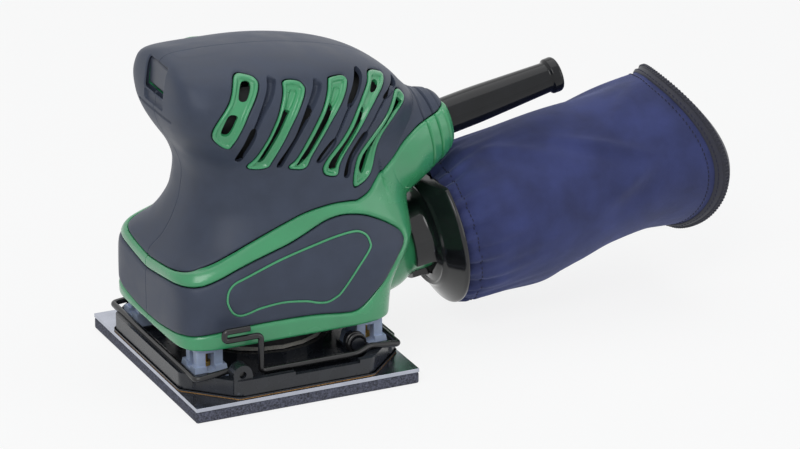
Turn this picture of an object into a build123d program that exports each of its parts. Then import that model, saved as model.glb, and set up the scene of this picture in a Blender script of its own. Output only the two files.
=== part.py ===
from build123d import *
import math
import os

os.makedirs("parts", exist_ok=True)

# All sizes in millimetres. +Z up, +X to the rear, origin under the middle of the pad.

# Pad and base
PAD_X = 100.0
PAD_Y = 112.0
FOAM_T = 5.0
PLATE_T = 1.7
GASKET_T = 0.9
BASE_X = 97.6
BASE_Y = 108.0
BASE_CUT = 19.0
FLOOR_T = 2.4
CHANNEL_T = 1.2
WALL_H = 6.8
SIDE_T = 2.6
RIM_T = 5.0
TABLE_R = 33.0
TABLE_H = 6.9
POST_X = 36.0
POST_Y = 31.5
POST_W = 11.5
FOOT_W = 15.5
STUB_R = 3.2
STUB_IN = 0.9

# Housing wall and clearances
WALL = 3.2
RECESS = 0.6
FIT = 0.05
RUN = 0.3
SKIRT_Z = 24.5
TOP_Z = 142.0
BANDS = 15
SIDES = 6

# Motor and orbit
ORBIT_R = 0.75
SHAFT_R = 4.0
PIN_R = 5.0
STATOR_R = 25.4
ROTOR_R = 15.6
AIR_GAP = 0.5
CASE_T = 2.2
STATOR_Z = 66.0
STATOR_L = 32.0
FAN_H = 5.0
PAD_BEARING = (PIN_R, 13.0, 8.0)
MAIN_BEARING = (6.0, 14.0, 8.0)
TOP_BEARING = (SHAFT_R, 11.0, 7.0)
MAIN_BEARING_Z = 42.5
TOP_BEARING_Z = 117.0

# Switch, in a window in the front of the head
SWITCH_Z = 130.5
SWITCH_W = 19.0
SWITCH_H = 13.0
ROCKER_X = -36.4
ROCKER_TILT = 5.0
ROCKER_R = 1.6

# Paper clamps
WIRE_R = 1.3
PIVOT_X = 28.0
PIVOT_Z = 16.6
BAR_X = 45.6
ARM_Y = BASE_Y / 2 - 8.6
LEVER_Y = BASE_Y / 2 - 5.4
LEVER_Z = 15.0
HOOK_Z = 31.0
HOOK_X = -18.0
HOOK_L = 16.2
HOOK_GAP = 3.9
BEND_R = 1.9
COIL_R = 3.8
COIL_WIRE_R = 0.8
COIL_TURNS = 2
COIL_PITCH = 2.1
LUG_Y = 15.6 - BASE_Y / 2

# Cord guard and neck, on one tilted axis
NECK_TILT = 12.0
NECK_AT = (89.0, 0.0, 93.4)
GUARD_R = 7.7
GUARD_TIP_R = 7.1
GUARD_L = 51.5
NECK_END = 1.0
CORD_R = 3.6

# Dust outlet, adapter and bag, on one tilted axis
BAG_TILT = 8.65
BAG_AT = (82.2, 0.0, 43.6)
OUTLET_R = 15.0
OUTLET_BORE = 12.6
BULB_R = 20.0
COLLAR_T = 2.2
COLLAR_L = 15.5
FLANGE_R = 33.0
FLANGE_TOP = 25.4
SPIGOT_R = 23.6
BAG_R = 33.0
BAG_END_R = 36.0
BAG_L = 121.0
CLOTH_T = 1.6
FOLDS = 24

# Profiles of the housing seen from the side and the front, as (height, value) pairs
FRONT = [(24.5, -47.6), (36, -47.8), (46, -47.6), (54, -47), (57.5, -45), (61, -41.6), (69, -36.6), (79, -33),
         (89, -31.8), (98, -34.4), (107, -40.8), (113, -44.6), (117.5, -46), (122, -45.4), (130, -43.2),
         (136, -41.4), (139.6, -38.8), (141.3, -35.6), (142, -31.6)]
REAR = [(24.5, 47.4), (36, 48.6), (44, 52), (51, 57.6), (58, 61.6), (64, 62.3), (72, 61), (82, 59.6), (92, 61),
        (100, 64.5), (108, 67.4), (117, 62.7), (124.5, 54.8), (132, 42.4), (138, 22.2), (140.8, 4), (142, -14)]
HALF = [(24.5, 41.6), (36, 42), (46, 41.8), (54, 40.6), (60, 39), (70, 35.6), (78, 33.4), (87, 32.3), (95, 32.7),
        (104, 35), (112, 37), (118, 37.4), (125, 35.6), (132, 30.9), (136, 26.2), (139, 19.8), (141, 12.5), (142, 6)]
FRONT_SQUARE = [(24.5, 1.05), (46, 1.03), (54, 0.98), (62, 0.86), (78, 0.74), (95, 0.74), (108, 0.84), (120, 0.89),
                (134, 0.81), (142, 0.7)]
REAR_SQUARE = [(24.5, 1.05), (46, 1.03), (54, 0.98), (62, 0.86), (78, 0.74), (95, 0.69), (142, 0.66)]

# Levels of the stack under the housing
PLATE_Z = FOAM_T
GASKET_Z = PLATE_Z + PLATE_T
BASE_Z = GASKET_Z + GASKET_T
FLOOR_Z = BASE_Z + FLOOR_T
RIM_Z = BASE_Z + WALL_H
TABLE_Z = BASE_Z + TABLE_H


# Smooth curve through the pairs, with no overshoot between them
def along(pairs, z):
    z = min(max(z, pairs[0][0]), pairs[-1][0])
    n = len(pairs)
    slope = [(pairs[i + 1][1] - pairs[i][1]) / (pairs[i + 1][0] - pairs[i][0]) for i in range(n - 1)]
    tangent = [slope[0]]
    for i in range(1, n - 1):
        same = slope[i - 1] * slope[i]
        tangent.append(2 * same / (slope[i - 1] + slope[i]) if same > 0 else 0.0)
    tangent.append(slope[-1])
    k = max(i for i in range(n - 1) if pairs[i][0] <= z)
    step = pairs[k + 1][0] - pairs[k][0]
    s = (z - pairs[k][0]) / step
    a = (1 + 2 * s) * (1 - s) ** 2 * pairs[k][1] + s * s * (3 - 2 * s) * pairs[k + 1][1]
    return a + step * (s * (1 - s) ** 2 * tangent[k] - s * s * (1 - s) * tangent[k + 1])


# The profile moved inwards by depth, measured square to the profile
def inset(pairs, z, depth, inward):
    values = []
    for i in range(-6, 7):
        dz = depth * i / 6
        reach = math.sqrt(max(depth * depth - dz * dz, 0.0))
        values.append(inward * along(pairs, z + dz) + reach)
    return inward * max(values)


# A closed solid of flat facets between rings of points, each ring lying in one plane
def faceted(rings):
    faces = [make_face(Polyline(*ring, close=True)).face() for ring in (rings[0], rings[-1])]
    for low, high in zip(rings, rings[1:]):
        for i in range(len(low)):
            a, b, c, d = low[i - 1], low[i], high[i], high[i - 1]
            if (c - a).length < (d - b).length:
                corners = ((a, b, c), (a, c, d))
            else:
                corners = ((a, b, d), (b, c, d))
            faces += [make_face(Polyline(*t, close=True)).face() for t in corners]
    return Solid(Shell(faces))


# Left half of one level section, from the rear round to the front: two quarter curves in a few straight sides
def half_ring(z, depth, sides):
    front = inset(FRONT, z, depth, 1)
    rear = inset(REAR, z, depth, -1)
    half = inset(HALF, z, depth, -1)
    mid = (front + rear) / 2
    curves = []
    for end, square in ((rear, REAR_SQUARE), (front, FRONT_SQUARE)):
        k = along(square, z)
        turn = (mid + (end - mid) * k, -half, z)
        curves.append(Bezier((end, 0, z), (end, -half * k, z), turn, (mid, -half, z)))
    back, ahead = [[c @ (i / sides) for i in range(sides + 1)] for c in curves]
    return back + ahead[-2::-1]


# Heights spaced evenly along the form, so that the bands are near even in width
def levels(bottom, top, bands):
    heights = [bottom + (top - bottom) * i / 400 for i in range(401)]
    run = [0.0]
    for a, b in zip(heights, heights[1:]):
        moved = [along(p, b) - along(p, a) for p in (FRONT, REAR, HALF)]
        run.append(run[-1] + math.sqrt((b - a) ** 2 + 0.4 * sum(m * m for m in moved)))
    marks = [run[-1] * n / bands - 1e-9 for n in range(bands + 1)]
    return [heights[min(i for i in range(401) if run[i] >= mark)] for mark in marks]


def half_body(depth, bottom, bands, sides):
    return faceted([half_ring(z, depth, sides) for z in levels(bottom, TOP_Z - depth, bands)])


def axis_plane(point, tilt):
    t = math.radians(tilt)
    return Plane(origin=point, x_dir=(0, 1, 0), z_dir=(math.cos(t), 0, math.sin(t)))


NECK = axis_plane(NECK_AT, NECK_TILT)
BAG = axis_plane(BAG_AT, BAG_TILT)


# Round forms are cut in flats, with the corners on the radius given
FLATS = 20


# Straight tapers through (radius, distance) rings, along the local Z of a plane
def tapered(rings, plane=Plane.XY, flats=FLATS):
    turns = [2 * math.pi * i / flats for i in range(flats)]
    points = [[Vector(r * math.cos(a), r * math.sin(a), z) for a in turns] for r, z in rings]
    return plane.location * faceted(points)


# A tube whose bore clears the radius given, with no bore where that is 0
def tube(r_out, r_in, z0, z1, plane=Plane.XY, flats=FLATS):
    ring = RegularPolygon(r_out, flats)
    if r_in:
        ring = ring - RegularPolygon(r_in, flats, major_radius=False)
    return plane.location * (Pos(0, 0, z0) * extrude(ring, z1 - z0))


# A true cylinder, for what turns or slides
def journal(r, z0, z1, plane=Plane.XY):
    return plane.location * (Pos(0, 0, z0) * extrude(Circle(r), z1 - z0))


# A prism with a few flats, for screws and wound coils
def rod(r, z0, z1, sides=8):
    return Pos(0, 0, z0) * extrude(RegularPolygon(r, sides), z1 - z0)


# A bar with a few flats along a run of points
def bar(points, r, flats):
    spots = [Vector(*p) for p in points]
    ways = [(b - a).normalized() for a, b in zip(spots, spots[1:])]
    side = ways[0].cross(Vector(0.3, 0.2, 1))
    rings = []
    for i, spot in enumerate(spots):
        way = (ways[max(i - 1, 0)] + ways[min(i, len(ways) - 1)]).normalized()
        side = (side - way * side.dot(way)).normalized()
        up = way.cross(side)
        turns = [2 * math.pi * k / flats for k in range(flats)]
        rings.append([spot + side * (r * math.cos(a)) + up * (r * math.sin(a)) for a in turns])
    return faceted(rings)


# The corners of a run of points rounded, each in a few steps
def bent(points, radius, steps=3):
    spots = [Vector(*p) for p in points]
    out = [spots[0]]
    for before, here, after in zip(spots, spots[1:], spots[2:]):
        a, b = (before - here).normalized(), (after - here).normalized()
        cut = radius * math.tan((math.pi - math.acos(max(min(a.dot(b), 1), -1))) / 2)
        for k in range(steps + 1):
            u = k / steps
            out.append(here + a * (cut * (1 - u) ** 2) + b * (cut * u * u))
    out.append(spots[-1])
    return [tuple(p) for p in out]


def block(x0, x1, y0, y1, z0, z1):
    return Pos((x0 + x1) / 2, (y0 + y1) / 2, (z0 + z1) / 2) * Box(x1 - x0, y1 - y0, z1 - z0)


# A bar that runs along Y, round or with a few flats
def crossbar(r, x, z, y0, y1, flats=10):
    face = RegularPolygon(r, flats) if flats else Circle(r)
    return Pos(x, y1, z) * Rot(90, 0, 0) * extrude(face, y1 - y0)


# Prism of a side-view shape, running out to the left
def side_prism(face, near=0.0, far=80.0):
    return Pos(0, -near, 0) * extrude(Plane.XZ * face, far - near)


def right_of(body):
    return mirror(body, about=Plane.XZ)


def half_turn(body):
    return Rot(0, 0, 180) * body


# A curve as a run of chords
def chords(curve, n):
    return Polyline(*[curve @ (i / n) for i in range(n + 1)])


# Housing: side-view shapes of the grip and of the lower panel
grip_low = Spline((-47.4, 51.6), (-45.8, 54.6), (-39.3, 57.2), (-22, 59.8), (-12.5, 61.8), (0.6, 67), (15, 73.4),
                  (26.7, 75.6), (36.5, 74.4))
grip_rise = Spline((36.5, 74.4), (42, 76.8), (54.5, 86), (68, 96.8), (77, 101.6), (92, 104))
grip_rest = Polyline((92, 104), (110, 104), (110, 160), (-75, 160), (-75, 51.6), (-47.4, 51.6))
grip_area = make_face(chords(grip_low, 14).edges() + chords(grip_rise, 8).edges() + grip_rest.edges())
panel_run = Spline((-47.4, 45.4), (-45.8, 49), (-40, 51), (-23.5, 52.9), (-11, 55.8), (4.4, 62.3), (18.8, 68.4),
                   (29, 69.6), (38, 66), (43.2, 58.5), (39.1, 47), (28.7, 35.4), (18, 32.2), (2.4, 33.6),
                   (-15.5, 34.4), (-30.9, 33.6), (-43, 31.6), (-47.4, 27.6))
panel_rest = Polyline((-47.4, 27.6), (-75, 27.6), (-75, 45.4), (-47.4, 45.4))
panel_area = make_face(chords(panel_run, 30).edges() + panel_rest.edges())

# Vents: top, middle and bottom of each centre line, and the frame's width
VENTS = [((-13.4, 135.4), (-19.3, 123.5), (-27.2, 109.3), 8.2),
         ((4.7, 130.6), (-2.4, 115.2), (-10.9, 96.8), 7.8),
         ((25.1, 128.7), (16.8, 112.4), (7.0, 94.8), 7.8),
         ((45.4, 124.6), (35.6, 113.0), (21.0, 89.6), 7.0),
         ((56.4, 114.2), (46.2, 102.0), (36.4, 83.2), 7.0)]
GROOVES = [((-5.0, 133.6), (-11.2, 118.6), (-19.2, 101.0)),
           ((15.2, 130.8), (7.6, 114.4), (-1.9, 97.0)),
           ((35.4, 128.6), (26.4, 113.6), (14.2, 94.0)),
           ((52.6, 120.6), (41.0, 107.6), (28.4, 87.4))]
SLOT_W = 2.6
GROOVE_W = 3.6


def frame_shape(top, mid, low, width):
    rise = [(top[0] - mid[0], top[1] - mid[1]), (mid[0] - low[0], mid[1] - low[1])]
    units = [(x / math.hypot(x, y), y / math.hypot(x, y)) for x, y in rise]
    sides = [units[0], ((units[0][0] + units[1][0]) / 2, (units[0][1] + units[1][1]) / 2), units[1]]
    ends = list(zip((top, mid, low), sides))
    right = [(p[0] + u[1] * width / 2, p[1] - u[0] * width / 2) for p, u in ends]
    left = [(p[0] - u[1] * width / 2, p[1] + u[0] * width / 2) for p, u in ends]
    face = make_face(Polyline(*right, *left[::-1], close=True))
    if width < 2 * GROOVE_W - 1:
        return face
    middle = (right[1], left[1])
    ends = [v for v in face.vertices() if min(abs(v.X - p[0]) + abs(v.Y - p[1]) for p in middle) > 0.1]
    return chamfer(ends, width * 0.28)


# A slot between two places along a centre line
def slot(top, mid, low, start, end, width):
    arc = ThreePointArc(top, mid, low)
    run = [arc @ start, arc @ ((start + end) / 2), arc @ end]
    return frame_shape(*[(p.X, p.Y) for p in run], width)


frames = [frame_shape(*v) for v in VENTS]
slots = []
for n, (a, b, c, w) in enumerate(VENTS):
    for start, end in [(0.14, 0.40), (0.58, 0.86)] if n == 0 else [(0.10, 0.24), (0.34, 0.92)]:
        slots.append(slot(a, b, c, start, end, SLOT_W))
grooves = [slot(a, b, c, 0.02, 0.98, GROOVE_W) for a, b, c in GROOVES]

# Housing: outer form and hollow of the left half, with the neck for the cord guard
neck_line = [(22.8, -44), (20.8, -16), (18.6, -6.6), (16.2, -1), (13.6, NECK_END)]
neck_in = [(r - WALL, s - (WALL if r < 14 else 0)) for r, s in neck_line]
left_side = block(20, 120, -60, 0, 40, 140)
neck_out = tapered(neck_line, NECK) & left_side
neck_hollow = tapered(neck_in, NECK) & left_side
outer = half_body(0, SKIRT_Z, BANDS, SIDES) + neck_out
hollow = half_body(WALL, SKIRT_Z - 2, 9, 4) + neck_hollow
wall = outer - hollow

# Dust outlet: a bulb at the housing, then a straight spout for the bag adapter
bulb = ThreePointArc((OUTLET_R, -42), (BULB_R, -30), (OUTLET_R, -COLLAR_L - RUN))
bulb_line = [((bulb @ (i / 6)).X, (bulb @ (i / 6)).Y) for i in range(7)]
outlet_form = tapered(bulb_line + [(OUTLET_R, -0.6)], BAG)
outlet_bore = tube(OUTLET_BORE, 0, -54, 1, BAG)
dust_outlet = outlet_form - outlet_bore

# Grip, with its vents and the switch window
window = block(-60, ROCKER_X + 2, -SWITCH_W / 2, SWITCH_W / 2, SWITCH_Z - SWITCH_H / 2, SWITCH_Z + SWITCH_H / 2)
collar_rings = []
for s, r in ((-13.0, 20.1), (-8.6, 19.1), (-4.2, 17.6)):
    collar_rings.append(tube(r + 4, r - 0.8, s - 0.6, s + 0.6, NECK))
grip_left = wall & side_prism(grip_area - frames - grooves)
grip_left = grip_left - [window] - collar_rings
panel_left = wall & side_prism(panel_area)
vents_left = (half_body(RECESS, 70, 7, 5) - half_body(WALL - 0.4, 68, 5, 3)) & side_prism(Sketch() + frames)
vents_left = vents_left - [side_prism(s, 10) for s in slots]

# Hard half: band, skirt, rear and neck, with the motor case and the bearing plate inside
guard_hole = tube(GUARD_R, 0, -10, 10, NECK)
hard = wall - side_prism(grip_area + panel_area)
hard = hard - [guard_hole] - collar_rings
plate_z0 = MAIN_BEARING_Z - 1.5
plate_z1 = MAIN_BEARING_Z + MAIN_BEARING[2] + 1.5
inside = block(-80, 80, -80, 0, plate_z0, plate_z1) & hollow
case_top = TOP_BEARING_Z + TOP_BEARING[2] + 1.5
case = tube(STATOR_R + CASE_T, STATOR_R, plate_z1 - 1, case_top)
case = case + tube(STATOR_R + 0.5, TOP_BEARING[1], TOP_BEARING_Z - 1.5, case_top)
rear_boss = crossbar(4.2, 55.4, 66, -60, 0) & hollow
neck_boss = crossbar(3.6, 75, 79.6, -60, 0) & hollow
hard = hard + inside + (case & block(-80, 80, -80, 0, 0, 200)) + rear_boss + neck_boss
hard = hard - [outlet_form, outlet_bore]
hard = hard - tube(MAIN_BEARING[1], 0, MAIN_BEARING_Z, MAIN_BEARING_Z + MAIN_BEARING[2])
hard = hard - tube(TOP_BEARING[1], 0, TOP_BEARING_Z, TOP_BEARING_Z + TOP_BEARING[2])
hard = hard - tube(9, 0, plate_z0 - 1, plate_z1 + 1) - tube(6, 0, TOP_BEARING_Z - 3, case_top + 1)
air_holes = [Rot(0, 0, 45 * i) * Pos(18, 0, 0) * rod(3.4, TOP_BEARING_Z - 4, case_top + 1) for i in range(8)]
case_slots = [block(-6, 6, -40, 0, 54, 62), block(-5, 5, -40, 0, 103, 113)]
hard = hard - air_holes - case_slots
SCREWS = [(-38, 46), (36, 46), (55.4, 66), (75, 79.6)]
hard_left = hard - [crossbar(1.6, x, z, -16, 1, 8) for x, z in SCREWS]
hard_right = right_of(hard) - [crossbar(1.85, x, z, -1, 70, 8) for x, z in SCREWS]
sink = [crossbar(3.4, x, z, 20, 70) for x, z in SCREWS]
hard_right = hard_right - sink
panel_right = right_of(panel_left) - sink


# Motor
stator = tube(STATOR_R - FIT, ROTOR_R + AIR_GAP, STATOR_Z, STATOR_Z + STATOR_L)
coil_window = block(-13, 13, 14, 21, STATOR_Z - 1, STATOR_Z + STATOR_L + 1)
stator_core = stator - coil_window - half_turn(coil_window)
coil_outer = block(-12.8, 12.8, 17, 20.8, STATOR_Z - 7, STATOR_Z + STATOR_L + 7)
coil = coil_outer - block(-8, 8, 10, 30, STATOR_Z - 0.0, STATOR_Z + STATOR_L + 0.0)
field_coils = [coil, half_turn(coil)]
armature_core = tube(ROTOR_R, SHAFT_R, STATOR_Z, STATOR_Z + STATOR_L)
teeth = [Rot(0, 0, 30 * i) * block(ROTOR_R - 3, ROTOR_R + 1, -0.9, 0.9, STATOR_Z - 1, STATOR_Z + STATOR_L + 1)
         for i in range(12)]
armature_core = armature_core - teeth
end_turns = [rod(12.4, STATOR_Z - 5, STATOR_Z, FLATS)]
end_turns.append(rod(12.4, STATOR_Z + STATOR_L, STATOR_Z + STATOR_L + 3.5, FLATS))
armature_coils = [e - rod(SHAFT_R + 0.1, 50, 120, FLATS) for e in end_turns]
commutator_z = STATOR_Z + STATOR_L + 4.5
commutator = tube(10, SHAFT_R, commutator_z, commutator_z + 11)
grooves_c = [Rot(0, 0, 30 * i) * block(9, 11, -0.4, 0.4, commutator_z - 1, commutator_z + 12) for i in range(12)]
commutator = commutator - grooves_c
BRUSH_Z = commutator_z + 5.5
brush = block(10 + FIT, 18, -3, 3, BRUSH_Z - 3.5, BRUSH_Z + 3.5)
carbon_brushes = [brush, half_turn(brush)]
holder = block(11.5, STATOR_R, -4.6, 4.6, BRUSH_Z - 5, BRUSH_Z + 5)
holder = holder - block(11, 24, -3, 3, BRUSH_Z - 3.5, BRUSH_Z + 3.5)
holder = holder & tube(STATOR_R, 0, 90, 130)
brush_holders = [holder, half_turn(holder)]


# A ball bearing as one ring, with a shallow groove for its shield
def bearing(sizes, z):
    r_in, r_out, width = sizes
    mid = (r_in + r_out) / 2
    groove = tube(mid + 1.2, mid - 1.2, z + width - 0.8, z + width, flats=12)
    return tube(r_out, 0, z, z + width) - journal(r_in, z, z + width) - groove


top_bearing = bearing(TOP_BEARING, TOP_BEARING_Z)
main_bearing = bearing(MAIN_BEARING, MAIN_BEARING_Z)
PAD_BEARING_Z = TABLE_Z - 3.0
pad_bearing = Pos(ORBIT_R, 0, 0) * bearing(PAD_BEARING, PAD_BEARING_Z)

# Shaft with its eccentric pin, the balance weight and the fan
WEIGHT_Z = PAD_BEARING_Z + PAD_BEARING[2] + 0.8
pin = Pos(ORBIT_R, 0, 0) * journal(PIN_R - 0.02, PAD_BEARING_Z - 0.6, WEIGHT_Z)
shaft = rod(7.4, WEIGHT_Z - 0.4, MAIN_BEARING_Z, FLATS)
shaft = shaft + journal(MAIN_BEARING[0], MAIN_BEARING_Z, MAIN_BEARING_Z + 10)
shaft = shaft + journal(SHAFT_R, MAIN_BEARING_Z + 9, TOP_BEARING_Z + TOP_BEARING[2] + 0.5) + pin
weight = tube(24, 7.4, WEIGHT_Z, WEIGHT_Z + 5) & block(-30, 2, -30, 30, 0, 60)
FAN_Z = WEIGHT_Z + 6
fan = tube(9.6, 7.4, FAN_Z, MAIN_BEARING_Z - 2.2) + tube(26.5, 9, MAIN_BEARING_Z - 4, MAIN_BEARING_Z - 2.4)
blade = Pos(18, 0, 0) * Rot(0, 0, 22) * block(-8.4, 8, -0.7, 0.7, FAN_Z + 1, MAIN_BEARING_Z - 3.4)
blades = [Rot(0, 0, 40 * i) * blade for i in range(9)]
dust_fan = fan + blades
cool_z = MAIN_BEARING_Z + MAIN_BEARING[2] + 2.6
cooling_fan = tube(8, SHAFT_R, cool_z, cool_z + FAN_H) + tube(22.5, 7, cool_z, cool_z + 1.4)
vane = block(7, 22, -0.6, 0.6, cool_z + 1, cool_z + FAN_H)
cooling_fan = cooling_fan + [Rot(0, 0, 45 * i) * vane for i in range(8)]

# Shroud under the fan, with its felt ring, that rides just above the base's round table
shroud_z = SKIRT_Z + 2
FELT_Z = TABLE_Z + RUN
whole_hollow = hollow + right_of(hollow)
posts_at = [(x, y) for x in (-POST_X, POST_X) for y in (-POST_Y, POST_Y)]
shroud = block(-80, 80, -80, 80, shroud_z, shroud_z + 2) & whole_hollow
shroud = shroud + tube(30, 27.8, FELT_Z + 1.6, shroud_z + 1)
swing = rod(STUB_R + ORBIT_R + 2 * RUN, 0, 60, 16)
stub_holes = [Pos(STUB_IN * x - ORBIT_R, STUB_IN * y, 0) * swing for x, y in posts_at]
shroud = shroud - [tube(27.8, 0, 0, 60), outlet_form, outlet_bore] - stub_holes
felt_ring = tube(30.4, 27.4, FELT_Z, FELT_Z + 1.6)

# Switch
switch_body = block(ROCKER_X + 3.4, ROCKER_X + 15, -9.6, 9.6, case_top, SWITCH_Z + 5)
prongs = [block(ROCKER_X + 14, ROCKER_X + 21, y - 2.4, y + 2.4, SWITCH_Z - 3, SWITCH_Z - 2.2) for y in (-5, 5)]
switch_body = switch_body + prongs
rocker = block(-4.6, 0, -SWITCH_W / 2 + RUN, SWITCH_W / 2 - RUN, -5.7, 5.7)
rocker = fillet(rocker.edges().filter_by(Axis.Y).group_by(Axis.X)[0], 1.2)
rocker = rocker + crossbar(ROCKER_R, 0, 0, -SWITCH_W / 2 + 1, SWITCH_W / 2 - 1, 0)
saddle = block(ROCKER_X + 1, ROCKER_X + 4, -5, 5, SWITCH_Z - 2.2, SWITCH_Z + 2.2)
switch_body = switch_body + saddle - crossbar(ROCKER_R + FIT, ROCKER_X, SWITCH_Z, -6, 6, 0)
switch_rocker = Pos(ROCKER_X, 0, SWITCH_Z) * Rot(0, ROCKER_TILT, 0) * rocker

# Cord guard with its flange held in the neck
flange_s = NECK_END - WALL
guard_line = [(GUARD_R, flange_s - 1), (GUARD_R, 4), (GUARD_TIP_R, GUARD_L - 4.5), (GUARD_TIP_R, GUARD_L - 3.2),
              (GUARD_TIP_R + 2, GUARD_L - 2.4), (GUARD_TIP_R + 2, GUARD_L - 0.6), (GUARD_TIP_R + 1, GUARD_L)]
cord_guard = tapered(guard_line, NECK) + tube(10.4, 0, flange_s - 3, flange_s, NECK)
cord_guard = cord_guard - journal(CORD_R, flange_s - 4, GUARD_L + 1, NECK)

# Bag adapter: collar with a notch, wide flange with a step, and the spigot inside the bag's hem
c_in = OUTLET_R + RUN
c_out = c_in + COLLAR_T
flange_line = [(c_out, -COLLAR_L), (c_out, -7), (22.4, -6.2), (24.2, -4.8), (FLANGE_R, 0), (FLANGE_R, 1.6)]
spigot_line = [(SPIGOT_R, 0), (SPIGOT_R, 8), (SPIGOT_R + 0.9, 10), (SPIGOT_R - 0.6, 11)]
bag_adapter = tapered(flange_line, BAG) + tapered(spigot_line, BAG)
bag_adapter = bag_adapter - tapered([(c_in, -COLLAR_L - 1), (c_in, 0)], BAG)
bag_adapter = bag_adapter - tapered([(SPIGOT_R - 1.6, -2.6), (SPIGOT_R - 1.6, 12)], BAG)
notch = BAG.location * Rot(0, 0, 218) * block(12, 24, -3.4, 3.4, -COLLAR_L - 1, -7)
bag_adapter = bag_adapter - notch - BAG.location * block(-50, 50, FLANGE_TOP, 60, -60, 60)

# Bag: a closed cloth tube, gathered on the adapter, with a bound rim and a zip round the far end
bag_line = [(SPIGOT_R + 2.4, 2), (27.4, 8), (BAG_R - 0.6, 19), (BAG_R + 1.4, 75), (BAG_END_R, BAG_L - 4),
            (BAG_END_R - 3, BAG_L - 1)]
bag_in = [(r - CLOTH_T, s) for r, s in bag_line[1:-2]] + [(BAG_END_R - CLOTH_T - 0.4, BAG_L - 4.6)]
dust_bag = tapered(bag_line, BAG, FOLDS) - tapered(bag_in, BAG, FOLDS) - tube(SPIGOT_R + FIT, 0, 0, 9, BAG)
edge = BAG_END_R
bag_form = tapered(bag_line, BAG, FOLDS)
binding = tapered([(edge + 0.8, BAG_L - 4.6), (edge + 1, BAG_L - 3.4), (edge + 0.2, BAG_L - 0.8)], BAG, FOLDS)
bag_binding = binding - bag_form - tube(edge - 4, 0, BAG_L - 6, BAG_L + 1, BAG)
zip_s = BAG_L - 8
bag_zip = tapered([(edge + 0.7, zip_s - 1.8), (edge + 0.8, zip_s + 1.8)], BAG, FOLDS) - bag_form
at_slider = BAG.location * Rot(0, 0, 300)
slider = at_slider * block(edge + 0.8 + RUN, edge + 3, -3.2, 3.2, zip_s - 2.2, zip_s + 2.2)
zip_slider = slider + at_slider * block(edge + 1.8, edge + 2.8, -9.5, -2.6, zip_s - 1.3, zip_s + 1.3)

# Pad
foam_pad = block(-PAD_X / 2, PAD_X / 2, -PAD_Y / 2, PAD_Y / 2, 0, FOAM_T)
backing_plate = block(-PAD_X / 2, PAD_X / 2, -PAD_Y / 2, PAD_Y / 2, PLATE_Z, GASKET_Z)


def octagon(lx, ly, cut, r):
    corners = [(lx / 2 - cut, ly / 2), (lx / 2, ly / 2 - cut)]
    points = corners + [(x, -y) for x, y in corners[::-1]]
    points += [(-x, -y) for x, y in points]
    return fillet(make_face(Polyline(*points, close=True)).vertices(), r)


gasket = Pos(0, 0, GASKET_Z) * extrude(octagon(BASE_X + 0.9, BASE_Y + 0.9, BASE_CUT, 4), GASKET_T)

# Base: floor, rim, round table for the felt, seats for the posts, lugs and eyes for the clamps
plan = octagon(BASE_X, BASE_Y, BASE_CUT, 4)
well = octagon(BASE_X - 2 * RIM_T, BASE_Y - 2 * SIDE_T, BASE_CUT - 1.5, 3)
base_frame = Pos(0, 0, BASE_Z) * extrude(plan, WALL_H) - Pos(0, 0, FLOOR_Z) * extrude(well, 20)
base_frame = base_frame + tube(TABLE_R, 0, BASE_Z, TABLE_Z) + tube(18, 0, BASE_Z, PAD_BEARING_Z + PAD_BEARING[2])
channel = block(-24, 24.5, -LEVER_Y - 2.4, -LEVER_Y + 2.2, BASE_Z + CHANNEL_T, 40)
ridge = block(-15, 23, -LEVER_Y + 2.6, -LEVER_Y + 4, BASE_Z + 1, FLOOR_Z + 3)
eye_y = -ARM_Y - WIRE_R - 0.5
eye = block(-32, -23.6, -BASE_Y / 2 + 1, eye_y, BASE_Z + 1, PIVOT_Z)
eye = eye + crossbar(4.2, -PIVOT_X, PIVOT_Z, -BASE_Y / 2 + 1, eye_y, 20)
lug = block(PIVOT_X - 3.6, PIVOT_X + 3.6, LUG_Y, LUG_Y + 2.2, BASE_Z + 1, PIVOT_Z)
lug = lug + crossbar(3.6, PIVOT_X, PIVOT_Z, LUG_Y, LUG_Y + 2.2, 16)
lug = lug + crossbar(COIL_R - COIL_WIRE_R - FIT, PIVOT_X, PIVOT_Z, LUG_Y - COIL_TURNS * COIL_PITCH - 1, LUG_Y + 1)
post_z = FLOOR_Z + 1.2
seats = [block(x - FOOT_W / 2 - 1, x + FOOT_W / 2 + 1, y - FOOT_W / 2 - 1, y + FOOT_W / 2 + 1, BASE_Z + 1, post_z)
         for x, y in posts_at]
lowered = block(-5, 24, -BASE_Y / 2 - 6, -BASE_Y / 2 + SIDE_T + 0.1, RIM_Z - 1.4, 40)
for part in (ridge, eye, lug):
    base_frame = base_frame + part + half_turn(part)
base_frame = base_frame + seats
reach = FOOT_W / 2 + RUN
pockets = [block(x - reach, x + reach, y - reach, y + reach, post_z, 40) for x, y in posts_at]
base_frame = base_frame - pockets
eye_hole = crossbar(WIRE_R + 0.25, -PIVOT_X, PIVOT_Z, -BASE_Y / 2 - 1, eye_y + 1, 0)
for part in (channel, eye_hole, lowered):
    base_frame = base_frame - part - half_turn(part)
base_frame = base_frame - Pos(ORBIT_R, 0, 0) * tube(PAD_BEARING[1], 0, PAD_BEARING_Z, 60)
base_frame = base_frame - Pos(ORBIT_R, 0, 0) * tube(9.5, 0, BASE_Z + 1.2, 60)

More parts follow.
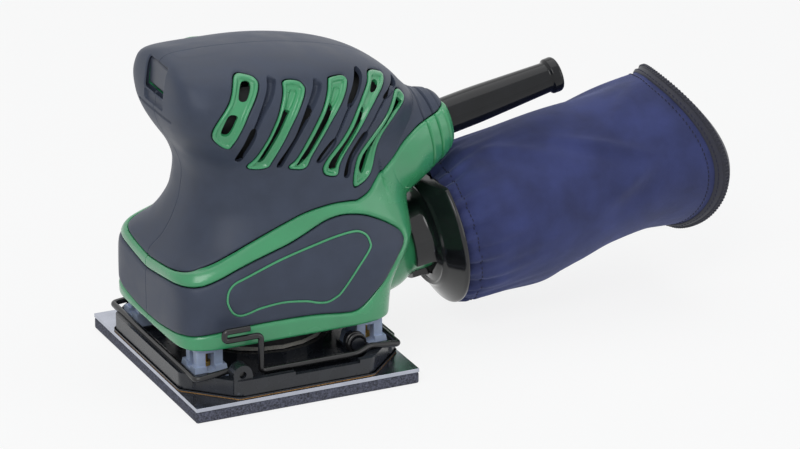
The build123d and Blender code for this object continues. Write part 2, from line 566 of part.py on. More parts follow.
# Rubber posts: a wedge foot, a column with a window, and a stub that reaches up inside the skirt
foot = extrude(Rectangle(FOOT_W, FOOT_W), 5.2, taper=9)
column = block(-POST_W / 2, POST_W / 2, -POST_W / 2, POST_W / 2, 5, SKIRT_Z - RUN - post_z)
stub = rod(STUB_R, 11, SKIRT_Z + 6.5 - post_z)
view = block(-20, 20, -1.9, 1.9, 3.4, 10.6)
post = foot + column - view - Rot(0, 0, 90) * view
rubber_posts = [Pos(x, y, post_z) * post + Pos(STUB_IN * x, STUB_IN * y, post_z) * stub for x, y in posts_at]
post_core = rod(1.5, 3.4, 10.6) + rod(2.6, 3.4, 5.4)
post_screws = [Pos(x, y, post_z) * post_core for x, y in posts_at]

# Paper clamps: one bent wire each, the front one being the rear one turned half round
hook_end = HOOK_X - HOOK_L
path = [(PIVOT_X, BASE_Y / 2 - 2.6, PIVOT_Z), (PIVOT_X, ARM_Y, PIVOT_Z), (BAR_X, ARM_Y, PIVOT_Z),
        (BAR_X, -ARM_Y, PIVOT_Z), (PIVOT_X + 4, -ARM_Y, PIVOT_Z), (PIVOT_X - 3, -LEVER_Y, LEVER_Z),
        (HOOK_X, -LEVER_Y, LEVER_Z),
        (HOOK_X, -LEVER_Y, HOOK_Z), (hook_end, -LEVER_Y, HOOK_Z), (hook_end, -LEVER_Y, HOOK_Z + HOOK_GAP),
        (HOOK_X - 5, -LEVER_Y, HOOK_Z + HOOK_GAP)]
rear_clamp = bar(bent(path, BEND_R, 2), WIRE_R, 6)
front_clamp = half_turn(rear_clamp)


def coil_point(turn):
    a = 2 * math.pi * turn
    y = LUG_Y - COIL_WIRE_R - COIL_PITCH * turn
    return (PIVOT_X + COIL_R * math.cos(a), y, PIVOT_Z + COIL_R * math.sin(a))


COIL_STEPS = 10
coil_run = [coil_point(i / COIL_STEPS) for i in range(COIL_STEPS * COIL_TURNS + 1)]
coil_spring = bar(coil_run, COIL_WIRE_R, 5)
fine = [coil_point(i / 60) for i in range(60 * COIL_TURNS + 1)]
near = [math.dist(a, b) for i, a in enumerate(fine) for b in fine[i + 30:]]
print("least gap between spring turns, mm:", round(min(near) - 2 * COIL_WIRE_R, 2))
clamp_springs = [coil_spring, half_turn(coil_spring)]

# Screws that join the halves, driven from the right
screw_body = Rot(-90, 0, 0) * (rod(1.45, -15, 20.5) + rod(3, 20, 22.4, 12))
housing_screws = [Pos(x, 0, z) * screw_body for x, z in SCREWS]

NODES = {
    "housing_left": hard_left, "housing_right": hard_right,
    "grip_left": grip_left, "grip_right": right_of(grip_left),
    "panel_left": panel_left, "panel_right": panel_right,
    "vent_frames_left": vents_left, "vent_frames_right": right_of(vents_left),
    "dust_outlet": dust_outlet, "housing_screws": housing_screws,
    "stator_core": stator_core, "field_coils": field_coils,
    "brush_holders": brush_holders, "carbon_brushes": carbon_brushes,
    "top_bearing": top_bearing, "main_bearing": main_bearing,
    "fan_shroud": shroud, "felt_ring": felt_ring,
    "switch_body": switch_body, "switch_rocker": switch_rocker, "cord_guard": cord_guard,
    "motor_shaft": shaft, "armature_core": armature_core, "armature_coils": armature_coils,
    "commutator": commutator, "balance_weight": weight, "dust_fan": dust_fan, "cooling_fan": cooling_fan,
    "foam_pad": foam_pad, "backing_plate": backing_plate, "base_gasket": gasket, "base_frame": base_frame,
    "pad_bearing": pad_bearing, "rubber_posts": rubber_posts, "post_screws": post_screws,
    "clamp_springs": clamp_springs, "front_clamp": front_clamp, "rear_clamp": rear_clamp,
    "bag_adapter": bag_adapter, "dust_bag": dust_bag, "bag_binding": bag_binding, "bag_zip": bag_zip,
    "zip_slider": zip_slider,
}
for name, body in NODES.items():
    solids = body if isinstance(body, list) else [body]
    solids = [s for item in solids for s in item.solids()]
    export_step(solids[0] if len(solids) == 1 else Compound(children=solids), f"parts/{name}.step")
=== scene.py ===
import math

import bpy
import numpy as np
from mathutils import Matrix, Vector
from mathutils.bvhtree import BVHTree


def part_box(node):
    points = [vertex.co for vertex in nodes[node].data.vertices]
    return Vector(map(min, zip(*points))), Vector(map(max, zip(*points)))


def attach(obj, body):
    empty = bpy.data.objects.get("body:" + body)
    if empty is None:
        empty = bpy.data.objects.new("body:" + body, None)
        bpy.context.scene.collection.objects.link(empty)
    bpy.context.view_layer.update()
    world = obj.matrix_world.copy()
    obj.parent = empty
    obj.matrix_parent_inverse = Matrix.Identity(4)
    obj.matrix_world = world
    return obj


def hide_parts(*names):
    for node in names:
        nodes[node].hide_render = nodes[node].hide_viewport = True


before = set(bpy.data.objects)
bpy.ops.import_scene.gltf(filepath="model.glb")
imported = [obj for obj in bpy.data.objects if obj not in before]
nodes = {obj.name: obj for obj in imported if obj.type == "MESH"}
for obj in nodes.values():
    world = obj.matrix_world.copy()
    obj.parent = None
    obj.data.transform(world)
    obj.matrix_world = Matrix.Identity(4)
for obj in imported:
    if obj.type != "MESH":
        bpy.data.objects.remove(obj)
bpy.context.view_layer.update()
mm = 0.001
bpy.ops.object.select_all(action="DESELECT")
print("frame loaded:", len(nodes), "nodes")


# camera at the photograph's angle, sizes in mm
view = {"yaw": -25.0335, "pitch": 21.6403, "lens": 225, "across": 60.98, "up": 54.85, "away": 2099.6}


def placeCamera(v):
    a, e = math.radians(v["yaw"]), math.radians(v["pitch"])
    back = Vector((math.sin(a) * math.cos(e), -math.cos(a) * math.cos(e), math.sin(e)))
    right = Vector((math.cos(a), math.sin(a), 0))
    up = back.cross(right)
    bpy.ops.object.camera_add()
    cam = bpy.context.object
    turn = Matrix((right, up, back)).transposed().to_4x4()
    place = Matrix.Translation((right * v["across"] + up * v["up"] + back * v["away"]) * mm)
    cam.matrix_world = place @ turn
    cam.data.lens = v["lens"]
    cam.data.clip_end = 20
    bpy.context.scene.camera = cam


placeCamera(view)


# soft studio light: place, aim, size in m, watts
lamps = {
    "key": ((-0.75, -1.0, 1.15), (0.05, 0, 0.07), 0.9, 10),
    "fill": ((1.1, -0.9, 0.55), (0.08, 0, 0.06), 0.9, 2.4),
    "top": ((0.1, 0.25, 1.3), (0.05, 0, 0.06), 1.3, 5.5),
}


def addLamp(name, place, aim, size, watts):
    bpy.ops.object.light_add(type="AREA", location=place)
    lamp = bpy.context.object
    lamp.name = name
    lamp.data.size = size
    lamp.data.energy = watts
    lamp.rotation_euler = (Vector(aim) - Vector(place)).to_track_quat("-Z", "Y").to_euler()


for name, (place, aim, size, watts) in lamps.items():
    addLamp(name, place, aim, size, watts)


def put(node, values):
    for name, value in values.items():
        node.inputs[name].default_value = value


def combined(tree, operation, first, second):
    node = tree.nodes.new("ShaderNodeMath")
    node.operation = operation
    tree.links.new(first, node.inputs[0])
    tree.links.new(second, node.inputs[1])
    return node.outputs[0]


def blended(tree, amount, first, second):
    mix = tree.nodes.new("ShaderNodeMixShader")
    for socket, output in zip(mix.inputs, (amount, first, second)):
        tree.links.new(output, socket)
    return mix.outputs[0]


def seenByEye(tree):
    path = tree.nodes.new("ShaderNodeLightPath")
    last = path.outputs["Is Camera Ray"]
    for name in ("Is Glossy Ray", "Is Transmission Ray"):
        last = combined(tree, "MAXIMUM", last, path.outputs[name])
    return last


# white to the eye and in reflections, a soft pale blue as light
studio = {"white": (1, 1, 1, 1), "tint": (0.9, 0.95, 1, 1), "soft": 0.27}


def makeWorld(s):
    world = bpy.data.worlds.new("studio")
    bpy.context.scene.world = world
    world.use_nodes = True
    tree = world.node_tree
    soft = tree.nodes["Background"]
    put(soft, {"Color": s["tint"], "Strength": s["soft"]})
    white = tree.nodes.new("ShaderNodeBackground")
    put(white, {"Color": s["white"], "Strength": 1})
    shown = blended(tree, seenByEye(tree), soft.outputs[0], white.outputs[0])
    tree.links.new(shown, tree.nodes["World Output"].inputs["Surface"])


makeWorld(studio)


def newFinish(name):
    mat = bpy.data.materials.new(name)
    mat.use_nodes = True
    return mat, mat.node_tree, mat.node_tree.nodes["Principled BSDF"]


# floor: pale, lighter still to the eye, and it keeps the shadow
floorLook = {"size": 8, "colour": (0.93, 0.93, 0.93, 1), "rough": 0.9, "shine": 0.1, "glow": 0.84}


def makeFloor(f):
    bpy.ops.mesh.primitive_plane_add(size=f["size"])
    floor = bpy.context.object
    floor.name = "floor"
    mat, tree, shade = newFinish("paleFloor")
    put(shade, {"Base Color": f["colour"], "Roughness": f["rough"], "Specular IOR Level": f["shine"]})
    glow = tree.nodes.new("ShaderNodeEmission")
    put(glow, {"Color": studio["white"]})
    amount = tree.nodes.new("ShaderNodeMath")
    amount.operation = "MULTIPLY"
    amount.inputs[1].default_value = f["glow"]
    tree.links.new(seenByEye(tree), amount.inputs[0])
    shown = blended(tree, amount.outputs[0], shade.outputs[0], glow.outputs[0])
    tree.links.new(shown, tree.nodes["Material Output"].inputs["Surface"])
    floor.data.materials.append(mat)


makeFloor(floorLook)
bpy.context.scene.view_settings.view_transform = "Standard"
print("camera, light and floor set")


# finishes: colour in sRGB bytes, blotch size and strength, bump size, strength and depth, sizes in mm
finishes = {
    "gripRubber": {"colour": (64, 71, 87), "rough": 0.46, "shine": 0.26, "blotch": (9, 0.1),
        "bump": (0.35, 0.35, 0.05)},
    "greenPlastic": {"colour": (64, 158, 106), "rough": 0.26, "coat": 0.35, "blotch": (14, 0.07),
        "bump": (0.5, 0.16, 0.03)},
    "blackPlastic": {"colour": (33, 36, 42), "rough": 0.27, "blotch": (7, 0.25), "bump": (0.4, 0.2, 0.04)},
    "blackGloss": {"colour": (24, 25, 28), "rough": 0.13, "blotch": (10, 0.2), "bump": (2.0, 0.05, 0.03)},
    "guardRubber": {"colour": (15, 17, 21), "rough": 0.14, "shine": 0.32, "blotch": (8, 0.25),
        "bump": (0.6, 0.1, 0.03)},
    "wireBlack": {"colour": (26, 26, 28), "rough": 0.22, "blotch": (4, 0.3), "bump": (0.5, 0.12, 0.02)},
    "switchBlack": {"colour": (62, 68, 82), "rough": 0.4, "blotch": (5, 0.1), "bump": (0.4, 0.2, 0.03)},
    "postRubber": {"colour": (172, 186, 212), "rough": 0.42, "blotch": (5, 0.1), "bump": (0.6, 0.15, 0.04),
        "extra": {"Subsurface Weight": 0.35, "Subsurface Radius": (0.003, 0.003, 0.004)}},
    "foam": {"colour": (80, 82, 96), "rough": 0.9, "blotch": (0.75, 0.85), "bump": (0.7, 0.9, 0.3)},
    "sheetMetal": {"colour": (176, 180, 192), "rough": 0.22, "metal": 1.0, "blotch": (6, 0.08),
        "bump": (1.2, 0.05, 0.02)},
    "cork": {"colour": (206, 154, 88), "rough": 0.85, "blotch": (0.6, 0.4), "bump": (0.5, 0.4, 0.08)},
    "felt": {"colour": (200, 196, 186), "rough": 0.95, "blotch": (0.5, 0.2), "bump": (0.3, 0.6, 0.1),
        "extra": {"Sheen Weight": 0.3}},
    "brass": {"colour": (196, 158, 84), "rough": 0.3, "metal": 1.0, "blotch": (3, 0.2),
        "bump": (0.5, 0.1, 0.02)},
    "steel": {"colour": (176, 178, 182), "rough": 0.32, "metal": 1.0, "blotch": (4, 0.12),
        "bump": (0.4, 0.1, 0.02)},
    "copper": {"colour": (190, 112, 70), "rough": 0.35, "metal": 1.0, "blotch": (1, 0.3),
        "bump": (0.5, 0.4, 0.1)},
    # near-black: the dark inner parts, and painted shade on the sheet behind the vents
    "darkPartsAndPaintedShade": {"colour": (22, 23, 25), "rough": 0.7, "blotch": (5, 0.2), "bump": (0.6, 0.2, 0.05)},
    "tape": {"colour": (40, 41, 54), "rough": 0.8, "blotch": (2, 0.3), "bump": (0.35, 0.6, 0.08),
        "extra": {"Sheen Weight": 0.3}},
    "thread": {"colour": (26, 28, 52), "rough": 0.8, "blotch": (1, 0.2), "bump": (0.2, 0.4, 0.05)},
}
mats = {}


def linear(colour):
    return [c / 255 / 12.92 if c < 10.3 else ((c / 255 + 0.055) / 1.055) ** 2.4 for c in colour]


def addNoise(tree, coord, size, detail):
    noise = tree.nodes.new("ShaderNodeTexNoise")
    put(noise, {"Scale": 1 / (size * mm), "Detail": detail})
    tree.links.new(coord, noise.inputs["Vector"])
    return noise.outputs["Fac"]


def addBump(tree, height, strength, depth):
    bump = tree.nodes.new("ShaderNodeBump")
    put(bump, {"Strength": strength, "Distance": depth * mm})
    tree.links.new(height, bump.inputs["Height"])
    return bump


def ranged(tree, value, low, high):
    spread = tree.nodes.new("ShaderNodeMapRange")
    put(spread, {"From Min": 0.3, "From Max": 0.7, "To Min": low, "To Max": high})
    tree.links.new(value, spread.inputs["Value"])
    return spread.outputs["Result"]


def twoTone(tree, value, dark, light):
    mix = tree.nodes.new("ShaderNodeMix")
    mix.data_type = "RGBA"
    mix.inputs[6].default_value = (*dark, 1)
    mix.inputs[7].default_value = (*light, 1)
    tree.links.new(ranged(tree, value, 0, 1), mix.inputs[0])
    return mix.outputs[2]


def makeFinish(name, f, roughSpread=0.12, coatRough=0.22):
    mat, tree, shade = newFinish(name)
    coord = tree.nodes.new("ShaderNodeTexCoord").outputs["Object"]
    base = np.array(linear(f["colour"]))
    size, amount = f["blotch"]
    tone = addNoise(tree, coord, size, detail=4)
    colour = twoTone(tree, tone, base * (1 - amount), np.minimum(base * (1 + amount), 1))
    rough = ranged(tree, tone, f["rough"] * (1 - roughSpread), min(f["rough"] * (1 + roughSpread), 1))
    size, strength, depth = f["bump"]
    bump = addBump(tree, addNoise(tree, coord, size, detail=3), strength, depth)
    for value, socket in ((colour, "Base Color"), (rough, "Roughness"), (bump.outputs["Normal"], "Normal")):
        tree.links.new(value, shade.inputs[socket])
    put(shade, {"Metallic": f.get("metal", 0), "Specular IOR Level": f.get("shine", 0.5),
                "Coat Weight": f.get("coat", 0), "Coat Roughness": coatRough})
    put(shade, f.get("extra", {}))
    return mat


for name, f in finishes.items():
    mats[name] = makeFinish(name, f)


# cloth: plain weave from the piece's own map, one unit to a millimetre
cloth = {"colour": (48, 56, 104), "tones": (0.66, 1.3), "blotch": 16, "thread": 0.55, "waves": 3.2,
         "uneven": 0.6, "rough": 0.86, "sheen": 0.35, "sheenRough": 0.5, "tint": (0.5, 0.55, 0.85, 1),
         "weave": (0.5, 0.12), "crease": (7, 0.35, 0.8)}


def makeCloth(name, c):
    mat, tree, shade = newFinish(name)
    coord = tree.nodes.new("ShaderNodeTexCoord")
    threads = []
    for turn in (0, math.pi / 2):
        spin = tree.nodes.new("ShaderNodeMapping")
        put(spin, {"Rotation": (0, 0, turn)})
        tree.links.new(coord.outputs["UV"], spin.inputs["Vector"])
        wave = tree.nodes.new("ShaderNodeTexWave")
        put(wave, {"Scale": 1 / c["thread"] / c["waves"], "Distortion": c["uneven"]})
        tree.links.new(spin.outputs["Vector"], wave.inputs["Vector"])
        threads.append(wave.outputs["Fac"])
    weave = addBump(tree, combined(tree, "MULTIPLY", *threads), *c["weave"])
    size, strength, depth = c["crease"]
    crease = addBump(tree, addNoise(tree, coord.outputs["Object"], size, detail=3), strength, depth)
    tree.links.new(weave.outputs["Normal"], crease.inputs["Normal"])
    tree.links.new(crease.outputs["Normal"], shade.inputs["Normal"])
    base = np.array(linear(c["colour"]))
    tone = addNoise(tree, coord.outputs["Object"], c["blotch"], detail=5)
    tree.links.new(twoTone(tree, tone, *(base * t for t in c["tones"])), shade.inputs["Base Color"])
    put(shade, {"Roughness": c["rough"], "Sheen Weight": c["sheen"],
                "Sheen Roughness": c["sheenRough"], "Sheen Tint": c["tint"]})
    return mat


mats["bagCloth"] = makeCloth("bagCloth", cloth)
print("finishes made:", len(mats))


# shared steps
def pick(obj):
    bpy.ops.object.select_all(action="DESELECT")
    obj.select_set(True)
    bpy.context.view_layer.objects.active = obj


def applyAll(obj):
    pick(obj)
    for mod in list(obj.modifiers):
        bpy.ops.object.modifier_apply(modifier=mod.name)


def smooth(obj, angle):
    pick(obj)
    bpy.ops.object.shade_smooth_by_angle(angle=math.radians(angle))


def dye(obj, finish):
    obj.data.materials.clear()
    obj.data.materials.append(mats[finish])


def linked(name, data):
    obj = bpy.data.objects.new(name, data)
    bpy.context.scene.collection.objects.link(obj)
    return obj


def newMesh(name, verts, faces, *finish):
    data = bpy.data.meshes.new(name)
    points = [tuple(v) for v in np.asarray(verts) * mm]
    data.from_pydata(points, [], [tuple(int(i) for i in f) for f in faces])
    data.validate()
    for f in finish:
        data.materials.append(mats[f])
    return linked(name, data)


def merged(obj, apart, then=None):
    pick(obj)
    bpy.ops.object.mode_set(mode="EDIT")
    bpy.ops.mesh.select_all(action="SELECT")
    bpy.ops.mesh.remove_doubles(threshold=apart)
    if then:
        then()
    bpy.ops.object.mode_set(mode="OBJECT")


def thicken(obj, wall):
    thick = obj.modifiers.new("wall", "SOLIDIFY")
    thick.thickness = wall * mm
    thick.offset = -1
    applyAll(obj)


def bevelled(obj, width, segments):
    edge = obj.modifiers.new("edge", "BEVEL")
    edge.width = width * mm
    edge.segments = segments
    return edge


def joinInto(first, second):
    pick(first)
    second.select_set(True)
    bpy.ops.object.join()


def unit(v):
    return v / np.maximum(np.linalg.norm(v, axis=1, keepdims=True), 1e-12)


def settle(obj, body, slot, *replaced):
    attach(obj, body)
    if replaced:
        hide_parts(*replaced)


# tilted axes: a place in mm and the tilt in degrees
axes = {"neck": ((89.0, 0, 93.4), 12.0), "stem": ((89.0, 0, 94.0), 12.0), "bag": ((82.2, 0, 43.6), 8.65)}


def axisMatrix(name):
    place, tilt = axes[name]
    t = math.radians(tilt)
    x, z = Vector((0, 1, 0)), Vector((math.cos(t), 0, math.sin(t)))
    turn = Matrix((x, z.cross(x), z)).transposed().to_4x4()
    return Matrix.Translation(Vector(place) * mm) @ turn


# a closed profile of (radius, distance) pairs turned about an axis
def spun(name, profile, axis, finish, steps):
    count, tiny = len(profile), 1e-6
    data = bpy.data.meshes.new(name)
    edges = [(i, (i + 1) % count) for i in range(count)]
    data.from_pydata([(r * mm, 0, s * mm) for r, s in profile], edges, [])
    obj = linked(name, data)
    turn = obj.modifiers.new("turn", "SCREW")
    turn.steps = turn.render_steps = steps
    turn.use_merge_vertices = True
    turn.merge_threshold = tiny
    applyAll(obj)
    merged(obj, tiny, lambda: bpy.ops.mesh.normals_make_consistent(inside=False))
    obj.data.transform(axisMatrix(axis))
    dye(obj, finish)
    return obj


def cornerArc(before, here, after, bend, most, steps):
    a, b = before - here, after - here
    la, lb = np.linalg.norm(a), np.linalg.norm(b)
    cut = min(bend, la * most, lb * most)
    start, end = here + a / la * cut, here + b / lb * cut
    u = np.linspace(0, 1, steps + 1)[:, None]
    return list((1 - u) ** 2 * start + 2 * u * (1 - u) * here + u * u * end)


# corners of a profile rounded by short arcs, given as (radius, distance, rounding)
def rounded(corners, steps=5):
    points = [np.array(c[:2], float) for c in corners]
    out = []
    for i, here in enumerate(points):
        after, bend = points[(i + 1) % len(points)], corners[i][2]
        out += cornerArc(points[i - 1], here, after, bend, 0.49, steps) if bend > 0 else [here]
    return out


# a round wire through points, its corners rounded, in mm
def wirePiece(name, points, radius, bend, finish):
    pts = [np.array(p, float) for p in points]
    line = pts[:1]
    for before, here, after in zip(pts, pts[1:], pts[2:]):
        line += cornerArc(before, here, after, bend, 0.48, 8) if bend > 0 else [here]
    line += pts[-1:]
    curve = bpy.data.curves.new(name, "CURVE")
    curve.dimensions = "3D"
    run = curve.splines.new("POLY")
    run.points.add(len(line) - 1)
    for point, p in zip(run.points, line):
        point.co = (*(p * mm), 1)
    curve.bevel_depth = radius * mm
    curve.bevel_resolution = 5
    curve.use_fill_caps = True
    pick(linked(name, curve))
    bpy.ops.object.convert(target="MESH")
    obj = bpy.context.object
    obj.name = name
    dye(obj, finish)
    smooth(obj, 50)
    return obj


# housing: heights and values of its profiles, in mm
shell = {
    "front": [(24.5, -47.6), (36, -47.8), (46, -47.8), (53, -47.6), (56.4, -47), (58.2, -45.4), (59.8, -43),
        (63, -40.2), (69, -36.6), (79, -33), (89, -31.8), (98, -34.4), (107, -39.8), (113, -42.6),
        (117.5, -43.6), (122, -43.7), (130, -43), (134.5, -42.2), (137.4, -40.8), (139.2, -38.6),
        (140.2, -35)],
    "rear": [(24.5, 47.4), (36, 48.6), (44, 52), (51, 57.6), (58, 61.6), (64, 62.3), (72, 61), (82, 59.6),
        (92, 61), (100, 64.5), (108, 67.4), (117, 62.7), (124.5, 54.4), (131.2, 42), (136.4, 22.2),
        (139, 6), (140.2, -10)],
    "half": [(24.5, 41.6), (36, 42), (46, 41.8), (54, 40.6), (60, 39), (70, 35.6), (78, 33.4), (87, 32.3),
        (95, 32.7), (104, 35), (112, 37), (118, 37.4), (125, 35.4), (131.2, 31), (134.8, 26.8),
        (137.4, 21.4), (139.2, 15), (140.2, 8)],
    "frontSquare": [(24.5, 7.5), (46, 7.5), (54, 6), (59, 4.4), (64, 3.4), (78, 2.75), (95, 2.75),
        (108, 3.5), (118, 4.4), (128, 6), (135, 6.5), (140.2, 5)],
    "rearSquare": [(24.5, 6.5), (46, 6), (54, 5), (62, 3.6), (78, 2.75), (95, 2.55), (140.2, 2.4)],
    "low": 24.5, "high": 140.2, "rows": 210, "columns": 92, "dense": 84, "gap": 0.16, "dome": 0.35,
    "frameGap": 0.35, "slitEdge": 0.4, "slotEdge": 0.2, "lineHalf": 0.45,
    "walls": {"grip": 2.2, "housing": 2.6, "panel": 2.2, "frames": 1.4},
}


def along(pairs, z):
    x, y = np.array(pairs, float).T
    slope = np.diff(y) / np.diff(x)
    same = slope[:-1] * slope[1:]
    total = slope[:-1] + slope[1:]
    inner = np.where(same > 0, 2 * same / np.where(total == 0, 1, total), 0)
    tangent = np.concatenate([slope[:1], inner, slope[-1:]])
    z = np.clip(z, x[0], x[-1])
    k = np.clip(np.searchsorted(x, z, side="right") - 1, 0, len(x) - 2)
    h = x[k + 1] - x[k]
    s = (z - x[k]) / h
    a = (1 + 2 * s) * (1 - s) ** 2 * y[k] + s * s * (3 - 2 * s) * y[k + 1]
    return a + h * (s * (1 - s) ** 2 * tangent[k] - s * s * (1 - s) * tangent[k + 1])


# the profile a little eased, so that light runs evenly over it
def eased(pairs, z, reach=1.6):
    steps = np.linspace(-2, 2, 9)
    weight = np.exp(-steps ** 2)
    room = np.minimum(reach, np.minimum(z - pairs[0][0], pairs[-1][0] - z) / 2)
    return sum(w * along(pairs, z + room * s) for w, s in zip(weight, steps)) / weight.sum()


def gridFaces(rows, columns):
    a = (np.arange(rows - 1)[:, None] * columns + np.arange(columns - 1)[None, :]).ravel()
    b, c, d = a + 1, a + columns + 1, a + columns
    return np.concatenate([np.stack([a, d, c], 1), np.stack([a, c, b], 1)])


def normalsOf(v, t):
    face = np.cross(v[t[:, 1]] - v[t[:, 0]], v[t[:, 2]] - v[t[:, 0]])
    n = np.zeros_like(v)
    for i in range(3):
        np.add.at(n, t[:, i], face)
    return unit(n)


# one quarter of a level section, squarer as its power grows, in even steps
def quarter(power, across, deep, count):
    a = np.linspace(0, math.pi / 2, 240)
    x, y = across * np.cos(a) ** (2 / power), deep * np.sin(a) ** (2 / power)
    run = np.concatenate([[0], np.cumsum(np.hypot(np.diff(x), np.diff(y)))])
    even = np.linspace(0, run[-1], count)
    return np.interp(even, run, x), np.interp(even, run, y)


def bodySkin(s):
    fine = np.linspace(s["low"], s["high"], 1200)
    across = sum(np.diff(eased(s[k], fine)) ** 2 for k in ("front", "rear", "half"))
    step = np.sqrt(np.diff(fine) ** 2 + 0.4 * across) * np.where(fine[1:] > s["dense"], 1.6, 1)
    run = np.concatenate([[0], np.cumsum(step)])
    z = np.interp(np.linspace(0, run[-1], s["rows"]), run, fine)
    front, rear, half = (eased(s[k], z)[:, None] for k in ("front", "rear", "half"))
    mid = (front + rear) / 2
    sides = []
    for end, square in ((rear, "rearSquare"), (front, "frontSquare")):
        power = eased(s[square], z)
        reach = np.abs(end - mid)[:, 0]
        shape = [quarter(n, e, h, s["columns"]) for n, e, h in zip(power, reach, half[:, 0])]
        x = mid + np.sign(end - mid) * np.array([q[0] for q in shape])
        y = -np.array([q[1] for q in shape])
        sides.append(np.stack([x, y, np.broadcast_to(z[:, None], x.shape)], 2))
    rows = np.concatenate([sides[0], sides[1][:, -2::-1]], 1)
    crown = []
    for f in (0.85, 0.65, 0.4, 0.15, 0.01):  # the small flat on top, a little domed
        ring = rows[-1].copy()
        ring[:, 0] = mid[-1, 0] + (ring[:, 0] - mid[-1, 0]) * f
        ring[:, 1] *= f
        ring[:, 2] += s["dome"] * (1 - f * f)
        crown.append(ring)
    rows = np.concatenate([rows, np.array(crown)])
    v = rows.reshape(-1, 3)
    t = gridFaces(rows.shape[0], rows.shape[1])
    return {"v": v, "t": t, "n": normalsOf(v, t)}


# neck: (distance, radius) pairs, rings cut round its end, and the turned-in lip
neck = {"line": [(-44, 24), (-27.5, 22.6), (-17, 18.9), (-13.5, 17.3), (-9.8, 15.9), (-6.4, 14.4),
                 (-4.9, 13.1), (-3.8, 12)],
        "lip": [(-3.55, 11.5), (-3.4, 10.7), (-3.35, 9.6), (-3.35, 8.2)], "rings": (-16.2, -11.0, -6.2),
        "ringHalf": 0.5, "start": -44, "end": -3.8, "coarse": (-44, -18, 30), "fine": (-17.6, -3.8, 48),
        "blend": 9.0, "columns": 97}


def neckSkin(n):
    s = np.concatenate([np.linspace(*n["coarse"]), np.linspace(*n["fine"])])
    lipS, lipR = np.array(n["lip"]).T
    r = np.concatenate([along(n["line"], s), lipR])[:, None]
    s = np.concatenate([s, lipS])
    turn = np.radians(np.linspace(90, 270, n["columns"]))
    m = np.array(axisMatrix("stem"))
    far = np.broadcast_to(s[:, None], (len(s), n["columns"]))
    local = np.stack([r * np.cos(turn), r * np.sin(turn), far], 2).reshape(-1, 3)
    v = local @ m[:3, :3].T + m[:3, 3] / mm
    t = gridFaces(len(s), n["columns"])[:, ::-1]
    apart = np.abs(local[:, 2:] - np.array(n["rings"])).min(1)
    return {"v": v, "t": t, "n": normalsOf(v, t), "ring": n["ringHalf"] - apart}


def toNeck(n, v):
    m = np.array(axisMatrix("stem"))
    x, y, s = ((v - m[:3, 3] / mm) @ m[:3, :3]).T
    out = np.hypot(x, y)
    beside = (s >= n["start"]) & (s < n["end"])
    gap = np.where(beside, out - along(n["line"], s), -outside)
    return gap, unit(np.stack([x, y, 0 * s], 1)) @ m[:3, :3].T


# splits triangles along one level of a field, so that the line lies on edges
def splitAt(mesh, field, level):
    f = mesh[field] - level
    f = np.where(np.abs(f) < 1e-3, 0, f)
    t = mesh["t"]
    edges = np.sort(np.stack([t, np.roll(t, -1, 1)], 2).reshape(-1, 2), 1)
    keys, back = np.unique(edges, axis=0, return_inverse=True)
    crossed = f[keys[:, 0]] * f[keys[:, 1]] < 0
    if not crossed.any():
        return mesh
    base = len(mesh["v"])
    number = np.full(len(keys), -1)
    number[crossed] = base + np.arange(crossed.sum())
    a, b = keys[crossed].T
    w = f[a] / (f[a] - f[b])
    out = {}
    for k, value in mesh.items():
        if k == "t":
            continue
        ww = w[:, None] if value.ndim == 2 else w
        out[k] = np.concatenate([value, value[a] * (1 - ww) + value[b] * ww])
    out["n"] = unit(out["n"])
    mark = number[back.reshape(-1, 3)]
    count = (mark >= 0).sum(1)
    kept = [t[count == 0]]
    for i in range(3):
        j, k = (i + 1) % 3, (i + 2) % 3
        one = (count == 1) & (mark[:, i] >= 0)  # only edge i-j is crossed
        if one.any():
            p, tri = mark[one, i], t[one]
            kept += [np.stack(c, 1) for c in ((tri[:, i], p, tri[:, k]), (p, tri[:, j], tri[:, k]))]
        two = (count == 2) & (mark[:, i] >= 0) & (mark[:, k] >= 0)  # both edges at corner i
        if two.any():
            p, q, tri = mark[two, i], mark[two, k], t[two]
            corners = (tri[:, i], p, q), (p, tri[:, j], tri[:, k]), (p, tri[:, k], q)
            kept += [np.stack(c, 1) for c in corners]
    out["t"] = np.concatenate(kept)
    return out


def keepWhere(mesh, inside):
    t = mesh["t"][inside]
    used, where = np.unique(t, return_inverse=True)
    out = {k: v[used] for k, v in mesh.items() if k != "t"}
    out["t"] = where.reshape(-1, 3)
    return out


def cutOut(mesh, field, level=0):
    mesh = splitAt(mesh, field, level)
    return keepWhere(mesh, mesh[field][mesh["t"]].mean(1) > level + 1e-6)


def joined(a, b):
    out = {k: np.concatenate([a[k], b[k]]) for k in a if k != "t"}
    out["t"] = np.concatenate([a["t"], b["t"] + len(a["v"])])
    return out


# smooth line through points, as a run of short steps
def flowing(points, steps=8, closed=False):
    p = np.array(points, float)
    ends = (p[-1], p[0], p[1]) if closed else (2 * p[0] - p[1], 2 * p[-1] - p[-2], None)
    q = np.vstack([ends[0], p, ends[1]] + ([ends[2]] if closed else []))
    out = []
    for i in range(1, len(q) - 2):
        for u in np.linspace(0, 1, steps, endpoint=False):
            a, b, c, d = q[i - 1:i + 3]
            bend, twist = 2 * a - 5 * b + 4 * c - d, 3 * b - a - 3 * c + d
            out.append(0.5 * (2 * b + (c - a) * u + bend * u ** 2 + twist * u ** 3))
    if not closed:
        out.append(p[-1])
    return np.array(out)


